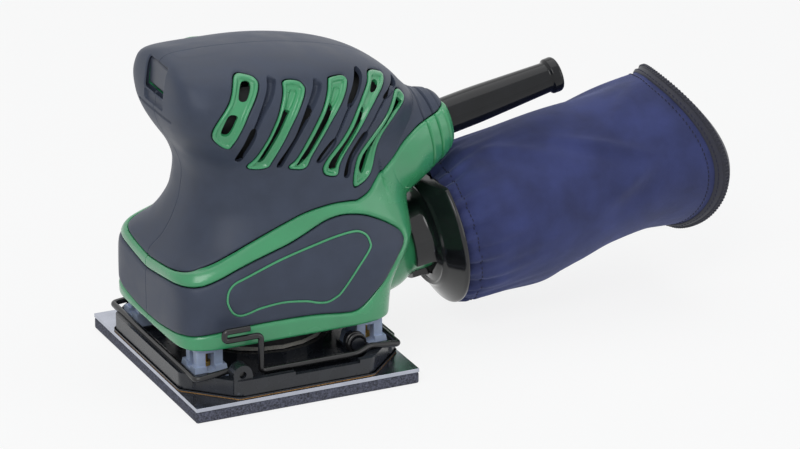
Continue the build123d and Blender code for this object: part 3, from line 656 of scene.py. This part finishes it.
# distance into a closed outline, negative outside
def into(outline, x, y):
    a, b = outline, np.roll(outline, -1, 0)
    best = np.full(len(x), 1e9)
    odd = np.zeros(len(x), bool)
    for (ax, ay), (bx, by) in zip(a, b):
        dx, dy = bx - ax, by - ay
        u = np.clip(((x - ax) * dx + (y - ay) * dy) / max(dx * dx + dy * dy, 1e-12), 0, 1)
        best = np.minimum(best, np.hypot(x - ax - u * dx, y - ay - u * dy))
        if ay != by:
            odd ^= ((ay > y) != (by > y)) & (x < (bx - ax) * (y - ay) / (by - ay) + ax)
    return np.where(odd, best, -best)


# distance into a rounded box, negative outside
def intoBox(u, v, halfU, halfV, r):
    a, b = np.abs(u) - halfU + r, np.abs(v) - halfV + r
    return r - np.hypot(np.maximum(a, 0), np.maximum(b, 0)) - np.minimum(np.maximum(a, b), 0)


# side view of the parts of the housing, (x, z) in mm, x running on round the front
sideView = {
    "gripLow": [(-110, 53.3), (-83, 53.4), (-72.6, 54.1), (-62.4, 55.1), (-53.5, 56), (-44.8, 57),
        (-38.6, 58.4), (-32.8, 60), (-25.4, 62.7), (-17.8, 65.8), (-9.5, 69), (-1.7, 71.8), (6.8, 74.5),
        (14, 75.9), (21.9, 76.7), (28.5, 76.5), (32.5, 76.1)],
    "gripRise": [(32.5, 76.1), (36.2, 77.1), (39.4, 78.7), (42.4, 81.5), (46.5, 85), (52.2, 88.8),
        (58.5, 94.5), (65.1, 98), (71.5, 99.6), (77.3, 100.8), (81.7, 102.1), (92, 104.5)],
    "panel": [(-110, 47.9), (-83, 48), (-72.3, 48.9), (-61.7, 50.2), (-52.2, 51), (-41.3, 51.8),
        (-33.2, 53.9), (-24.2, 57.1), (-16.4, 59.5), (-8.5, 61.7), (-0.5, 63.9), (6.2, 66.3), (11.7, 68.5),
        (17.1, 70.5), (23.1, 71.5), (29, 71.2), (35.6, 69.6), (42.1, 66.6), (47.4, 63.4), (51.5, 60.1),
        (52.8, 57), (51.9, 54.4), (49, 51.1), (45.9, 46.9), (42.4, 42), (37.9, 38.1), (33.7, 34.6),
        (30.3, 32.1), (27, 31), (22.4, 31.1), (8.8, 32.6), (-7.9, 33), (-22.5, 32.7), (-37.7, 31.4),
        (-45.9, 30.4), (-57.4, 29), (-74.7, 27.3), (-110, 27.2)],
    "plaque": [(-29.6, 44), (-29.7, 47.1), (-28.6, 49.9), (-25.9, 52.1), (-21.7, 53.5), (-5.2, 58.5),
        (14.6, 62.8), (22.6, 64.1), (27.9, 64.5), (31.1, 64.1), (34.1, 62.2), (35.3, 59.4), (34.9, 56.7),
        (28.5, 49.6), (21.1, 40.9), (18.2, 38.9), (14.6, 37.6), (10.1, 38.1), (5, 39.6), (-5.2, 40.8),
        (-15.4, 40), (-20.5, 38.7), (-24.4, 38.3), (-27.5, 39.9)],
    "frames": [
        [(-18.4, 135.8), (-13, 135.7), (-10, 134), (-10.6, 130.8), (-17.5, 121.6), (-22.7, 110.6),
         (-24.4, 107.5), (-28.4, 109.6), (-31.8, 114.2), (-30.1, 120.4), (-23.4, 128.6)],
        [(1.2, 132.2), (6.9, 131.7), (9.1, 129.8), (8.7, 127), (1.4, 114.8), (-5, 99.9), (-7.3, 96.3),
         (-14, 96.3), (-15, 98), (-12.2, 101.8), (-5.9, 116), (-0.4, 128.2)],
        [(22.2, 130.4), (28.2, 129.9), (29.7, 128.2), (28.3, 125.8), (19.3, 114.1), (12.5, 100.3),
         (9.6, 94), (3.4, 94.4), (2.6, 95.8), (6, 99.2), (11.9, 112.4), (18.8, 125.5), (20.8, 129.3)],
        [(43.4, 127.4), (48.8, 125.6), (50.4, 123.6), (42.2, 119.2), (36.9, 114), (32.3, 106.9), (25.5, 94),
         (24, 88.4), (19.5, 88.9), (17.8, 91.2), (18.8, 94.8), (25.4, 104.5), (33, 118.8), (40.2, 125.4)],
        [(56, 117.8), (58.9, 114.9), (58.1, 112.7), (52.5, 110.1), (47, 105.3), (43.6, 99), (40.4, 86),
         (33.3, 81.7), (31.8, 83.4), (33.4, 92.5), (36, 97.4), (43.9, 107.4), (52.4, 116.7)],
    ],
    "slots": [
        [(-16.3, 133.9), (-13.6, 133.9), (-13.2, 132.4), (-16.5, 128.1), (-19.3, 128.3), (-18.5, 130.9)],
        [(-25.1, 122.6), (-21.7, 122.3), (-22.7, 119.7), (-25.3, 114.1), (-28, 114.1), (-27.9, 117.4)],
        [(-1.5, 122), (1, 121.4), (-0.4, 118.7), (-6.5, 105.2), (-9.1, 99.5), (-11.4, 99.6), (-9.1, 106.4),
         (-3.3, 119.2)],
        [(18, 120.9), (20.1, 119.9), (15.7, 111), (9.7, 98.4), (7.3, 95.9), (5.9, 96.8), (11.5, 107.7)],
        [(43.4, 124.8), (46, 124), (42.8, 121.9), (40.4, 122.1)],
        [(33.2, 117.2), (35, 116), (30, 105.8), (24.3, 95), (22.8, 91.3), (21, 91.3), (21, 93.6),
         (26.9, 103.3)],
        [(54.6, 115), (56.3, 113.5), (50.5, 110.9), (45.9, 106.4), (42.3, 101.1), (37.3, 87.5),
         (35.4, 87.5), (35.7, 91.1), (40.1, 99.9), (47.6, 110.2)],
    ],
    "dishes": [
        [(2.7, 128.9), (4.7, 129.2), (5.8, 128), (1.4, 121.6), (-0.8, 122)],
        [(22.5, 127), (24.7, 127.2), (25.3, 125.6), (20.5, 120.1), (18.7, 120.8)],
    ],
    "grooves": [
        [(-5, 134), (-3, 133.8), (-2.2, 132.3), (-6.2, 126), (-10.9, 120.3), (-16.2, 109), (-18.1, 101.2),
         (-20.4, 101.2), (-18.7, 107.7), (-13, 120.6), (-6.9, 130.2)],
        [(14.8, 131.1), (16.9, 129.9), (16.7, 127.9), (10.8, 119.8), (5.3, 110.4), (-0.4, 97.6),
         (-1.7, 96.2), (-2.7, 97.4), (2.7, 107.7), (7.4, 119.6), (13.2, 128.7)],
    ],
    "creases": [
        [(35.6, 126.8), (28.5, 119.2), (25.1, 113.7), (21, 103.6), (16, 97)],
        [(54, 120), (47.7, 117.8), (42.2, 113.4), (36.2, 104.6), (30.4, 94), (28.7, 88.4)],
    ],
    "slits": [
        [(-16.1, 115.4), (-13.9, 113.9), (-16.9, 104.9), (-18.6, 100.8), (-20.3, 101.4), (-19.6, 105.1)],
        [(8.9, 121.5), (10.6, 120.5), (5.3, 110.4), (-0.4, 97.6), (-1.7, 96.3), (-2.6, 97.5), (2.7, 107.7)],
        [(36, 129.5), (38.3, 128.5), (35.3, 125.1), (28.5, 118.8), (27.2, 119.7), (29.6, 123.5)],
        [(20.3, 105), (22.1, 104.1), (20, 99.8), (16.6, 95.8), (14.8, 96.7)],
        [(55.5, 121), (56, 119.5), (48.3, 117.5), (46.2, 118.5)],
        [(34.7, 105.2), (36.9, 103.8), (31, 93.7), (29.6, 87.2), (27.4, 87.6), (29.7, 96.2)],
    ],
}

# front view: height, half width, half height and rounding
frontView = {"window": (130.5, 9.5, 6.5, 0.9), "ledge": (121.2, 9.5, 2.1, 0.6),
             "line": (116.6, 17, 0.45, 0.4)}
outside = -20  # a field's value far from its outline
wrap = {"start": 30, "over": 12, "side": 34, "before": -25}  # where the side view runs on round the front
creaseHalf = 0.8


def intoAny(outlines, x, z):
    return np.maximum.reduce([into(flowing(o, 6, True), x, z) for o in outlines])


def markFields(mesh, g):
    x, y, z = mesh["v"].T
    turned = np.clip((-x - wrap["start"]) / wrap["over"], 0, 1)
    u = x - np.maximum(0, y + wrap["side"]) * turned * turned * (3 - 2 * turned)
    above = [(130, 104.5), (130, 170), (-110, 170)]
    grip = np.vstack([flowing(g["gripLow"]), flowing(g["gripRise"])[1:], above])
    mesh["grip"] = into(grip, u, z)
    mesh["panel"] = into(flowing(g["panel"]), u, z)
    mesh["plaque"] = into(flowing(g["plaque"], 8, True), u, z)
    for name in ("frames", "slots", "dishes", "grooves", "slits"):
        mesh[name] = intoAny(g[name], u, z)
    lines = [flowing(line, 6) for line in g["creases"]]
    toLine = np.maximum.reduce([into(np.vstack([line, line[::-1]]), u, z) for line in lines])
    mesh["creases"] = creaseHalf + toLine
    for name, (at, *size) in frontView.items():
        mesh[name] = np.where(x < wrap["before"], intoBox(y, z - at, *size), outside)
    mesh["seam"] = -y
    mesh["foot"] = z - shell["low"]
    return mesh


# the whole left skin: body and neck run into each other
def leftSkin():
    body, stem = bodySkin(shell), neckSkin(neck)
    blend, overlap = neck["blend"], -0.3
    triangles = [tuple(int(i) for i in f) for f in body["t"]]
    tree = BVHTree.FromPolygons([tuple(p) for p in body["v"]], triangles)
    body["apart"], toward = toNeck(neck, body["v"])
    body["ring"] = np.full(len(toward), float(outside))
    near = [tree.find_nearest(tuple(p)) for p in stem["v"]]
    out = np.array([(Vector(p) - q[0]).dot(q[1]) for p, q in zip(stem["v"], near)])
    far = np.array([q[3] for q in near])
    stem["apart"] = np.where(out > 0, far, -far)
    cut = []
    for part, other in ((body, toward), (stem, np.array([tuple(q[1]) for q in near]))):
        w = np.clip(1 - part["apart"] / blend, 0, 1)[:, None]
        part["push"] = unit(part["n"] + w * other) * blend / 4 * w ** 2
        cut.append(cutOut(part, "apart", overlap))
    skin = joined(*cut)
    skin["v"] = skin["v"] + skin.pop("push")
    skin["n"] = normalsOf(skin["v"], skin["t"])
    return markFields(skin, sideView)


# moves a skin along its normals, by a run of (field, offset) pairs
def press(mesh, field, pairs):
    levels, offsets = zip(*pairs)
    for level in levels:
        mesh = splitAt(mesh, field, level)
    mesh["off"] = mesh["off"] + np.interp(mesh[field], levels, offsets)
    return mesh


# edge profiles: (distance in from an outline, offset) in mm
softEdge = [(0, -0.55), (0.14, -0.24), (0.4, -0.07), (0.8, 0)]
ribbon = [(0, -0.7), (0.12, 0.05), (0.5, 0.42), (1.0, 0.7), (1.3, 0.78), (2.2, 0.82)]
proud = [(0, -0.5), (0.14, 0.1), (0.4, 0.42), (0.9, 0.64), (1.7, 0.72)]
rimmed = [(0, -0.5), (0.16, 0.1), (0.5, 0.42), (1.0, 0.46), (1.3, 0.25), (1.6, -0.6), (2.1, -0.95)]
dented = [(-0.3, 0), (0, -0.4), (0.3, -1.6), (0.8, -2.5), (1.4, -2.8)]
dished = [(0, 0), (0.3, -0.5), (0.9, -0.9)]
creased = [(0, 0), (0.25, -0.5), (0.55, -1.3), (0.8, -1.5)]
stepped = [(-0.25, 0), (0.15, -0.9), (0.4, -1.1)]
scored = [(-0.3, 0), (0.1, -0.6), (0.4, -0.8)]
raisedLine = [(-0.8, 0), (-0.5, -0.22), (-0.4, 0.1), (0, 0.24), (0.4, 0.1), (0.5, -0.22), (0.8, 0)]
parting = [(0, -0.12), (0.3, 0)]
ringCut = [(-0.35, 0), (0, -0.45), (0.25, -1.0), (0.5, -1.1)]
lowerEdge = [(0, -0.6), (0.4, -0.15), (1, 0)]


def closeSkin(name, mesh, wall, finish, marks=None):
    v = mesh["v"] + mesh["n"] * mesh["off"][:, None]
    v[:, 1] = np.minimum(v[:, 1], -0.03)  # clear of the parting plane
    obj = newMesh(name, v, mesh["t"], *finish)
    if marks is not None:
        obj.data.polygons.foreach_set("material_index", marks.astype(np.int32))
    merged(obj, 2e-5, lambda: bpy.ops.mesh.dissolve_degenerate(threshold=5e-6))
    thicken(obj, wall)
    smooth(obj, 42)
    return obj


# the same piece on the other side of the parting plane
def otherSide(obj, name):
    twin = linked(name, obj.data.copy())
    twin.data.name = name
    twin.data.transform(Matrix.Scale(-1, 4, (0, 1, 0)))
    twin.data.flip_normals()
    return twin


def pressAll(mesh, *steps):
    for field, pairs in steps:
        mesh = press(mesh, field, pairs)
    return mesh


def makeHousing():
    skin = leftSkin()
    skin["off"] = np.zeros(len(skin["v"]))
    gap, seam, ring, walls = shell["gap"], ("seam", parting), ("ring", ringCut), shell["walls"]
    roundFrames = -skin["frames"] - shell["frameGap"]
    skin["gripRim"] = np.minimum.reduce([skin["grip"] - gap, roundFrames, -skin["window"]])
    skin["gripEdge"] = np.minimum(skin["gripRim"], skin["seam"])
    grip = cutOut(skin, "gripEdge")
    grip = pressAll(grip, ("gripRim", softEdge), seam, ring, ("grooves", dented), ("creases", creased))
    grip["notSlit"] = -grip["slits"] - shell["slitEdge"]
    grip = pressAll(cutOut(grip, "notSlit"), ("ledge", stepped), ("line", scored))
    skin["band"] = np.minimum(-skin["grip"], -skin["panel"]) - gap
    skin["hardEdge"] = np.minimum.reduce([skin["band"], skin["seam"], skin["foot"]])
    hard = pressAll(cutOut(skin, "hardEdge"), ("band", ribbon), seam, ring, ("foot", lowerEdge))
    skin["panelRim"] = skin["panel"] - gap
    skin["panelEdge"] = np.minimum(skin["panelRim"], skin["seam"])
    panel = pressAll(cutOut(skin, "panelEdge"), ("panelRim", proud), seam, ("plaque", raisedLine))
    marks = np.abs(panel["plaque"][panel["t"]].mean(1)) < shell["lineHalf"]
    frames = pressAll(cutOut(skin, "frames"), ("frames", rimmed), ("dishes", dished))
    frames["solid"] = -frames["slots"] - shell["slotEdge"]
    frames = cutOut(frames, "solid")
    rubber, green = ("gripRubber", "grip_rubber"), ("greenPlastic", "green_plastic")
    pieces = []
    for name, mesh, wall, (finish, slot), node, extra in (
            ("gripSkin", grip, "grip", rubber, "grip", None),
            ("housingShell", hard, "housing", green, "housing", None),
            ("sidePanel", panel, "panel", rubber, "panel", marks),
            ("ventFrames", frames, "frames", green, "vent_frames", None)):
        used = [finish] if extra is None else [finish, "greenPlastic"]
        left = closeSkin(name + "Left", mesh, walls[wall], used, extra)
        pieces.append((name, left, slot, node))
    for name, left, slot, node in pieces:
        right = otherSide(left, name + "Right")
        settle(left, "housing", slot, node + "_left")
        settle(right, "housing", slot, node + "_right")
    return skin


skin = makeHousing()
print("housing skins made")


# a strip of the skin set back from it, on both sides
def innerPair(name, mesh, behind, wall, finish, slot):
    mesh["off"] = np.full(len(mesh["v"]), -behind)
    left = closeSkin(name + "Left", mesh, wall, [finish])
    right = otherSide(left, name + "Right")
    settle(left, "housing", slot)
    settle(right, "housing", slot)


# green liner behind the switch window
liner = {"front": -36, "past": 2.4, "open": (8.6, 5.9, 0.6), "behind": 2.5, "wall": 1.2}


def makeLiner(l):
    part = dict(skin)
    part["near"] = np.where(part["v"][:, 0] < l["front"], part["window"] + l["past"], -5)
    part = cutOut(part, "near")
    x, y, z = part["v"].T
    part["open"] = -intoBox(y, z - frontView["window"][0], *l["open"])
    innerPair("windowLiner", cutOut(part, "open"), l["behind"], l["wall"], "greenPlastic", "green_plastic")


makeLiner(liner)


# painted shade: a dark sheet a little way behind the vents, standing in for the shaded inside
shadeSheet = {"low": 80, "high": 134.5, "front": -33, "rear": 60, "behind": 5.5, "wall": 0.8}


def makeShadeSheet(b):
    part = dict(skin)
    x, y, z = part["v"].T
    part["near"] = np.minimum.reduce([z - b["low"], b["high"] - z, x - b["front"], b["rear"] - x])
    innerPair("ventShadeSheet", cutOut(part, "near"), b["behind"], b["wall"], "darkPartsAndPaintedShade", "black_plastic")


makeShadeSheet(shadeSheet)


# turned pieces: cord guard and outlet
guard = [(3.6, -9.2, 0), (10.4, -9.2, 0.4), (10.4, -6.2, 0.4), (7.9, -6.2, 0), (8.0, 2, 3), (7.9, 14, 4),
         (6.5, 47.4, 0.5), (7.6, 48.4, 0.4), (7.7, 51.6, 0.6), (7.1, 52.6, 0.6), (4.6, 52.6, 0.6),
         (3.6, 51.4, 0.5)]
guardPiece = spun("cordGuard", rounded(guard), "neck", "guardRubber", 80)
smooth(guardPiece, 40)
settle(guardPiece, "housing", "guard_rubber", "cord_guard")

outlet = [(12.6, -42, 0), (15, -42, 0), (18.8, -37.5, 3), (20, -30, 6), (18.4, -21.5, 3), (15.2, -15.8, 2.5),
          (15, -0.6, 0.7), (12.6, -0.6, 0.6)]
outletPiece = spun("dustOutlet", rounded(outlet, 7), "bag", "greenPlastic", 96)
smooth(outletPiece, 40)
settle(outletPiece, "housing", "green_plastic", "dust_outlet")


# bag adapter: collar, dished flange with a ridge, spigot under the hem; cut clear of the neck and notched
adapter = {
    "line": [(15.3, -15.5, 0.5), (17.5, -15.5, 0.6), (17.6, -7.4, 1.6), (21.6, -5.6, 0.6), (22.8, -6.5, 0.5),
        (24.2, -4.9, 0.8), (32.4, -0.4, 0.8), (33.1, 0.4, 0.6), (32.8, 1.8, 0.6), (23.6, 0.4, 0.3),
        (23.6, 8, 0), (24.4, 10, 0.4), (22, 11, 0.3), (22, -2.6, 0.5), (15.3, -3.4, 0.3)],
    "cuts": [((0, 42, 0), (66, 33.2, 90)), ((-13.8, -11.2, -14), (9, 8, 14))],
}


def newCube(size):
    bpy.ops.object.select_all(action="DESELECT")
    bpy.ops.mesh.primitive_cube_add(size=1)
    obj = bpy.context.object
    obj.data.transform(Matrix.Diagonal((*[c * mm for c in size], 1)))
    return obj


def makeAdapter(a):
    obj = spun("bagAdapter", rounded(a["line"]), "bag", "blackGloss", 112)
    for place, size in a["cuts"]:
        tool = newCube(size)
        tool.data.transform(axisMatrix("bag") @ Matrix.Translation(Vector(place) * mm))
        cut = obj.modifiers.new("cut", "BOOLEAN")
        cut.object = tool
        cut.operation = "DIFFERENCE"
        applyAll(obj)
        bpy.data.objects.remove(tool)
    smooth(obj, 40)
    settle(obj, "bag", "black_gloss", "bag_adapter")


makeAdapter(adapter)
print("turned pieces made")


# pad: foam under the metal sheet
pad = {"x": 100.0, "y": 112.0, "foam": 5.0, "round": 0.9}


def makeFoam(p):
    obj = newCube((p["x"], p["y"], p["foam"]))
    obj.name = "foamPad"
    obj.data.transform(Matrix.Translation((0, 0, p["foam"] / 2 * mm)))
    bevelled(obj, p["round"], 3)
    applyAll(obj)
    dye(obj, "foam")
    smooth(obj, 50)
    settle(obj, "base", "foam", "foam_pad")


makeFoam(pad)


# clamps and springs: the front wire is the rear one turned half round
clamp = {"wire": 1.3, "bend": 2.185, "coil": 3.8, "coilWire": 0.8, "coilAt": (28, -39.2, 16.6), "turns": 2,
         "pitch": 2.1,
         "path": [(28, 51.4, 16.6), (28, 45.4, 16.6), (45.6, 45.4, 14.6), (45.6, -45.4, 14.6),
                  (32, -45.4, 16), (25, -48.6, 15), (-18, -48.6, 15), (-18, -48.6, 31), (-34.2, -48.6, 31),
                  (-34.2, -48.6, 34.9), (-23, -48.6, 34.9)]}


def makeClamps(c):
    turned = [(-x, -y, z) for x, y, z in c["path"]]
    for name, path, node in (("rearClamp", c["path"], "rear_clamp"), ("frontClamp", turned, "front_clamp")):
        obj = wirePiece(name, path, c["wire"], c["bend"], "wireBlack")
        settle(obj, node + "_wire", "dark_steel", node)
    a = np.linspace(0, 2 * math.pi * c["turns"], 24 * c["turns"] + 1)
    turns = np.stack([c["coil"] * np.cos(a), -c["pitch"] * a / 2 / math.pi, c["coil"] * np.sin(a)], 1)
    coil = turns + c["coilAt"]
    first = wirePiece("clampSprings", coil, c["coilWire"], 0, "wireBlack")
    joinInto(first, wirePiece("otherSpring", coil * (-1, -1, 1), c["coilWire"], 0, "wireBlack"))
    settle(first, "base", "dark_steel", "clamp_springs")


makeClamps(clamp)


# a copy of a CAD piece's mesh, merged, to be reshaped
def copied(name, node, finish):
    obj = linked(name, nodes[node].data.copy())
    merged(obj, 1e-6)
    dye(obj, finish)
    return obj


# lower lip of the tray, which leaves only a line of the gasket showing
def makeLip(cover, out):
    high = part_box("base_gasket")[1][2]
    lip = copied("trayLip", "base_gasket", "blackPlastic")
    for v in lip.data.vertices:
        v.co = (v.co.x * out, v.co.y * out, high - (high - v.co.z) * cover)
    settle(lip, "base", "black_plastic")


# screws across the parting plane, the rear one shorter to stay inside the slim neck
def makeScrews(neckAt, short):
    screws = copied("housingScrews", "housing_screws", "steel")
    for v in screws.data.vertices:
        if v.co.x > neckAt * mm:
            v.co.y *= short
    settle(screws, "housing", "steel", "housing_screws")


makeScrews(neckAt=70, short=0.5)
makeLip(cover=0.66, out=1.004)
print("pad and clamps made")


# dust bag: radius along its length below and on top, gathers at the hem, slack folds
bag = {
    "under": [(2, 31.2), (7, 33.4), (16, 34.4), (28, 35), (40, 35.6), (57, 33), (75, 29.8), (92, 29.2),
        (104, 30.4), (117, 32.3)],
    "over": [(2, 26.2), (8, 28.6), (18, 32.6), (40, 33), (75, 33.6), (105, 35), (117, 35.4)],
    "start": 2, "length": 117.0, "rise": 1.0, "bow": (7, -5), "mean": 33, "around": 240, "rows": 150,
    "cloth": 0.9, "gathers": (23, 1.25), "fineGathers": (37, 0.8), "hem": 11,
    "seed": 5, "folds": 16, "foldAt": (14, 108), "foldTilt": (-0.9, 0.9), "foldWide": (2, 4.6),
    "foldRun": (11, 26), "foldDeep": (0.8, 2.0),
    "zipTurn": -1.12, "zipFull": (5.6, 0.52), "drawn": [(7.6, 1.0, 0.5), (111, 0.9, 0.35)],
    "end": (0.97, 0.9, 0.75, 0.5, 0.25), "puff": 1.6, "endReach": 34,
}


def bell(x):
    return np.exp(-x ** 2)


def between(turn, place):
    return np.mod(turn - place + math.pi, 2 * math.pi) - math.pi


def bagPoint(b, s, turn, out=0.0):
    rng = np.random.default_rng(b["seed"])
    share = (1 + np.sin(turn)) / 2
    r = along(b["under"], s) * (1 - share) + along(b["over"], s) * share
    (count, deep), (fineCount, fineDeep) = b["gathers"], b["fineGathers"]
    gathers = deep * np.cos(count * turn + 0.35 * np.sin(3 * turn + 1.2))
    gathers = gathers + fineDeep * np.cos(fineCount * turn + 2.1 + 0.2 * s)
    r = r + np.exp((b["start"] - s) / b["hem"]) * gathers
    for n in range(b["folds"]):  # slack folds that run aslant over the cloth
        ranges = b["foldAt"], (0, 2 * math.pi), b["foldTilt"], b["foldWide"], b["foldRun"], b["foldDeep"]
        at, place, tilt, wide, run, deep = (rng.uniform(*ends) for ends in ranges)
        over = between(turn, place) * b["mean"]
        a = ((s - at) * math.cos(tilt) + over * math.sin(tilt)) / run
        c = (over * math.cos(tilt) - (s - at) * math.sin(tilt)) / wide
        r = r + deep * bell(a) * (bell(c) - 0.6 * bell((c - 1.9) / 1.4))
    r = r + 0.5 * np.sin(2 * turn + 0.05 * s) * np.sin(s / 19 + 1)
    for at, wide, deep in b["drawn"]:  # drawn in by the stitching
        r = r - deep * bell((s - at) / wide)
    grown = s / b["length"]
    full, spread = b["zipFull"]
    r = r + full * bell(between(turn, b["zipTurn"]) / spread) * grown ** 3  # fuller where the zip starts
    up = b["rise"] * grown ** 1.5
    s = s + (b["bow"][0] * np.cos(turn) ** 2 + b["bow"][1] * np.sin(turn) ** 2) * grown ** 2
    local = np.stack([(r + out) * np.cos(turn), (r + out) * np.sin(turn) + up, s + 0 * turn], -1)
    m = np.array(axisMatrix("bag"))
    return local @ m[:3, :3].T + m[:3, 3] / mm


# the cloth's own map, in mm: across round the bag, then along it and in over the end
def mapCloth(obj, b, lengths):
    chart = obj.data.uv_layers.new(name="cloth")
    around, step = b["around"], 2 * math.pi * b["mean"] / b["around"]
    for face in obj.data.polygons:
        indices = [obj.data.loops[l].vertex_index for l in face.loop_indices]
        columns = [i % around for i in indices]
        wrap = max(columns) - min(columns) > around / 2
        for l, i, c in zip(face.loop_indices, indices, columns):
            across = c + around if wrap and c < around / 2 else c
            chart.data[l].uv = (across * step, lengths[min(i // around, len(lengths) - 1)])


def makeBag(b):
    around, out = b["around"], np.array(axisMatrix("bag"))[:3, 2]
    s = np.linspace(b["start"], b["length"], b["rows"])[:, None]
    turn = np.linspace(0, 2 * math.pi, around, endpoint=False)[None, :]
    rows = list(bagPoint(b, s + 0 * turn, turn + 0 * s))
    edge, middle = rows[-1], rows[-1].mean(0)
    for f in b["end"]:  # end wall, a little puffed
        rows.append(middle + (edge - middle) * f + b["puff"] * (1 - f * f) * out)
    v = np.concatenate(rows + [[middle + (b["puff"] + 0.1) * out]])
    ring = [(j, (j + 1) % around) for j in range(around)]
    last = (len(rows) - 1) * around
    faces = [(i + j, i + k, i + around + k, i + around + j) for i in range(0, last, around) for j, k in ring]
    faces += [(last + j, last + k, len(v) - 1) for j, k in ring]
    obj = newMesh("dustBag", v, faces, "bagCloth")
    inward = b["length"] + b["endReach"] * (1 - np.array([*b["end"], 0]))
    mapCloth(obj, b, np.concatenate([s.ravel(), inward]))
    thicken(obj, b["cloth"])
    smooth(obj, 60)
    settle(obj, "bag", "bag_cloth", "dust_bag")
    return obj


bagPiece = makeBag(bag)


# bound rim and zip round the far end as (distance past the end, height) rows, and rows of stitches
rim = {
    "tape": [(-4.8, 0.25), (-4.4, 0.9), (-2, 1.2), (-0.2, 1.1), (1.2, 0.4), (2.2, -1), (2.6, -3), (1.8, -4.4),
        (-0.6, -0.6)],
    "zip": [(-1.5, 1.1), (-1.2, 1.8), (0.6, 1.7), (1.5, 0.4), (-0.2, 0.8)],
    "teeth": (-0.2, 1.8, 132), "tooth": (0.9, 0.9, 1.7),
    "seams": [(-109.4, 0.1, 96), (-7.2, 0.1, 100), (-3.6, 1.05, 100)], "stitch": (0.35, 1.35, 0.4),
}


def ringPiece(name, rows, finish, around=240):
    turn = np.linspace(0, 2 * math.pi, around, endpoint=False)
    v = np.concatenate([bagPoint(bag, np.full(around, bag["length"] + s), turn, out) for s, out in rows])
    faces = []
    for i in range(len(rows)):
        a, b = i * around, (i + 1) % len(rows) * around
        faces += [(a + j, a + k, b + k, b + j) for j in range(around) for k in [(j + 1) % around]]
    obj = newMesh(name, v, faces, finish)
    smooth(obj, 50)
    return obj


def studs(name, places, size, finish):
    one = newCube(size)
    bevelled(one, min(size) * 0.28, 1)
    applyAll(one)
    shape = np.array([v.co for v in one.data.vertices])
    faces = [tuple(p.vertices) for p in one.data.polygons]
    bpy.data.objects.remove(one)
    verts, polys = [], []
    for turn, spot in places:
        start = len(verts)
        verts += list((shape @ np.array(turn).T) / mm + spot)
        polys += [tuple(i + start for i in f) for f in faces]
    obj = newMesh(name, verts, polys, finish)
    smooth(obj, 30)
    return obj


def roundPlaces(s, out, count):
    m = np.array(axisMatrix("bag"))[:3, :3]
    places = []
    for a in np.linspace(0, 2 * math.pi, count, endpoint=False):
        spin = np.array(((math.cos(a), -math.sin(a), 0), (math.sin(a), math.cos(a), 0), (0, 0, 1)))
        places.append((m @ spin, bagPoint(bag, np.array(bag["length"] + s), np.array(a), out)))
    return places


def makeRim(r):
    tape = ringPiece("bagBinding", r["tape"], "tape")
    settle(tape, "bag", "binding", "bag_binding")
    zipBand = ringPiece("bagZip", r["zip"], "tape")
    joinInto(zipBand, studs("zipTeeth", roundPlaces(*r["teeth"]), r["tooth"], "tape"))
    settle(zipBand, "bag", "binding", "bag_zip")
    seams = studs("bagStitches", [p for row in r["seams"] for p in roundPlaces(*row)], r["stitch"], "thread")
    settle(seams, "bag", "bag_cloth")


makeRim(rim)
print("bag made")


# CAD pieces that show as they are: finish and edge rounding in mm
looks = {
    ("blackPlastic", 0.35): ["base_frame"], ("sheetMetal", 0.15): ["backing_plate"],
    ("cork", 0): ["base_gasket"], ("postRubber", 0.5): ["rubber_posts"], ("brass", 0.2): ["post_screws"],
    ("felt", 0): ["felt_ring"], ("switchBlack", 0.3): ["switch_rocker"], ("darkPartsAndPaintedShade", 0.2): ["switch_body"],
    ("steel", 0.3): ["zip_slider"],
    ("darkPartsAndPaintedShade", 0): ["fan_shroud", "carbon_brushes", "dust_fan", "cooling_fan"],
    ("copper", 0): ["field_coils", "armature_coils", "commutator"], ("brass", 0): ["brush_holders"],
    ("steel", 0): ["stator_core", "top_bearing", "main_bearing", "pad_bearing", "motor_shaft",
                   "armature_core", "balance_weight"],
}


def dress(name, finish, edge):
    obj = nodes[name]
    dye(obj, finish)
    weld = obj.modifiers.new("weld", "WELD")
    weld.merge_threshold = 1e-5
    if edge:
        soft = bevelled(obj, edge, 2)
        soft.limit_method = "ANGLE"
        soft.angle_limit = math.radians(40)
        soft.harden_normals = True


for (finish, edge), names in looks.items():
    for name in names:
        dress(name, finish, edge)
print("CAD pieces dressed")
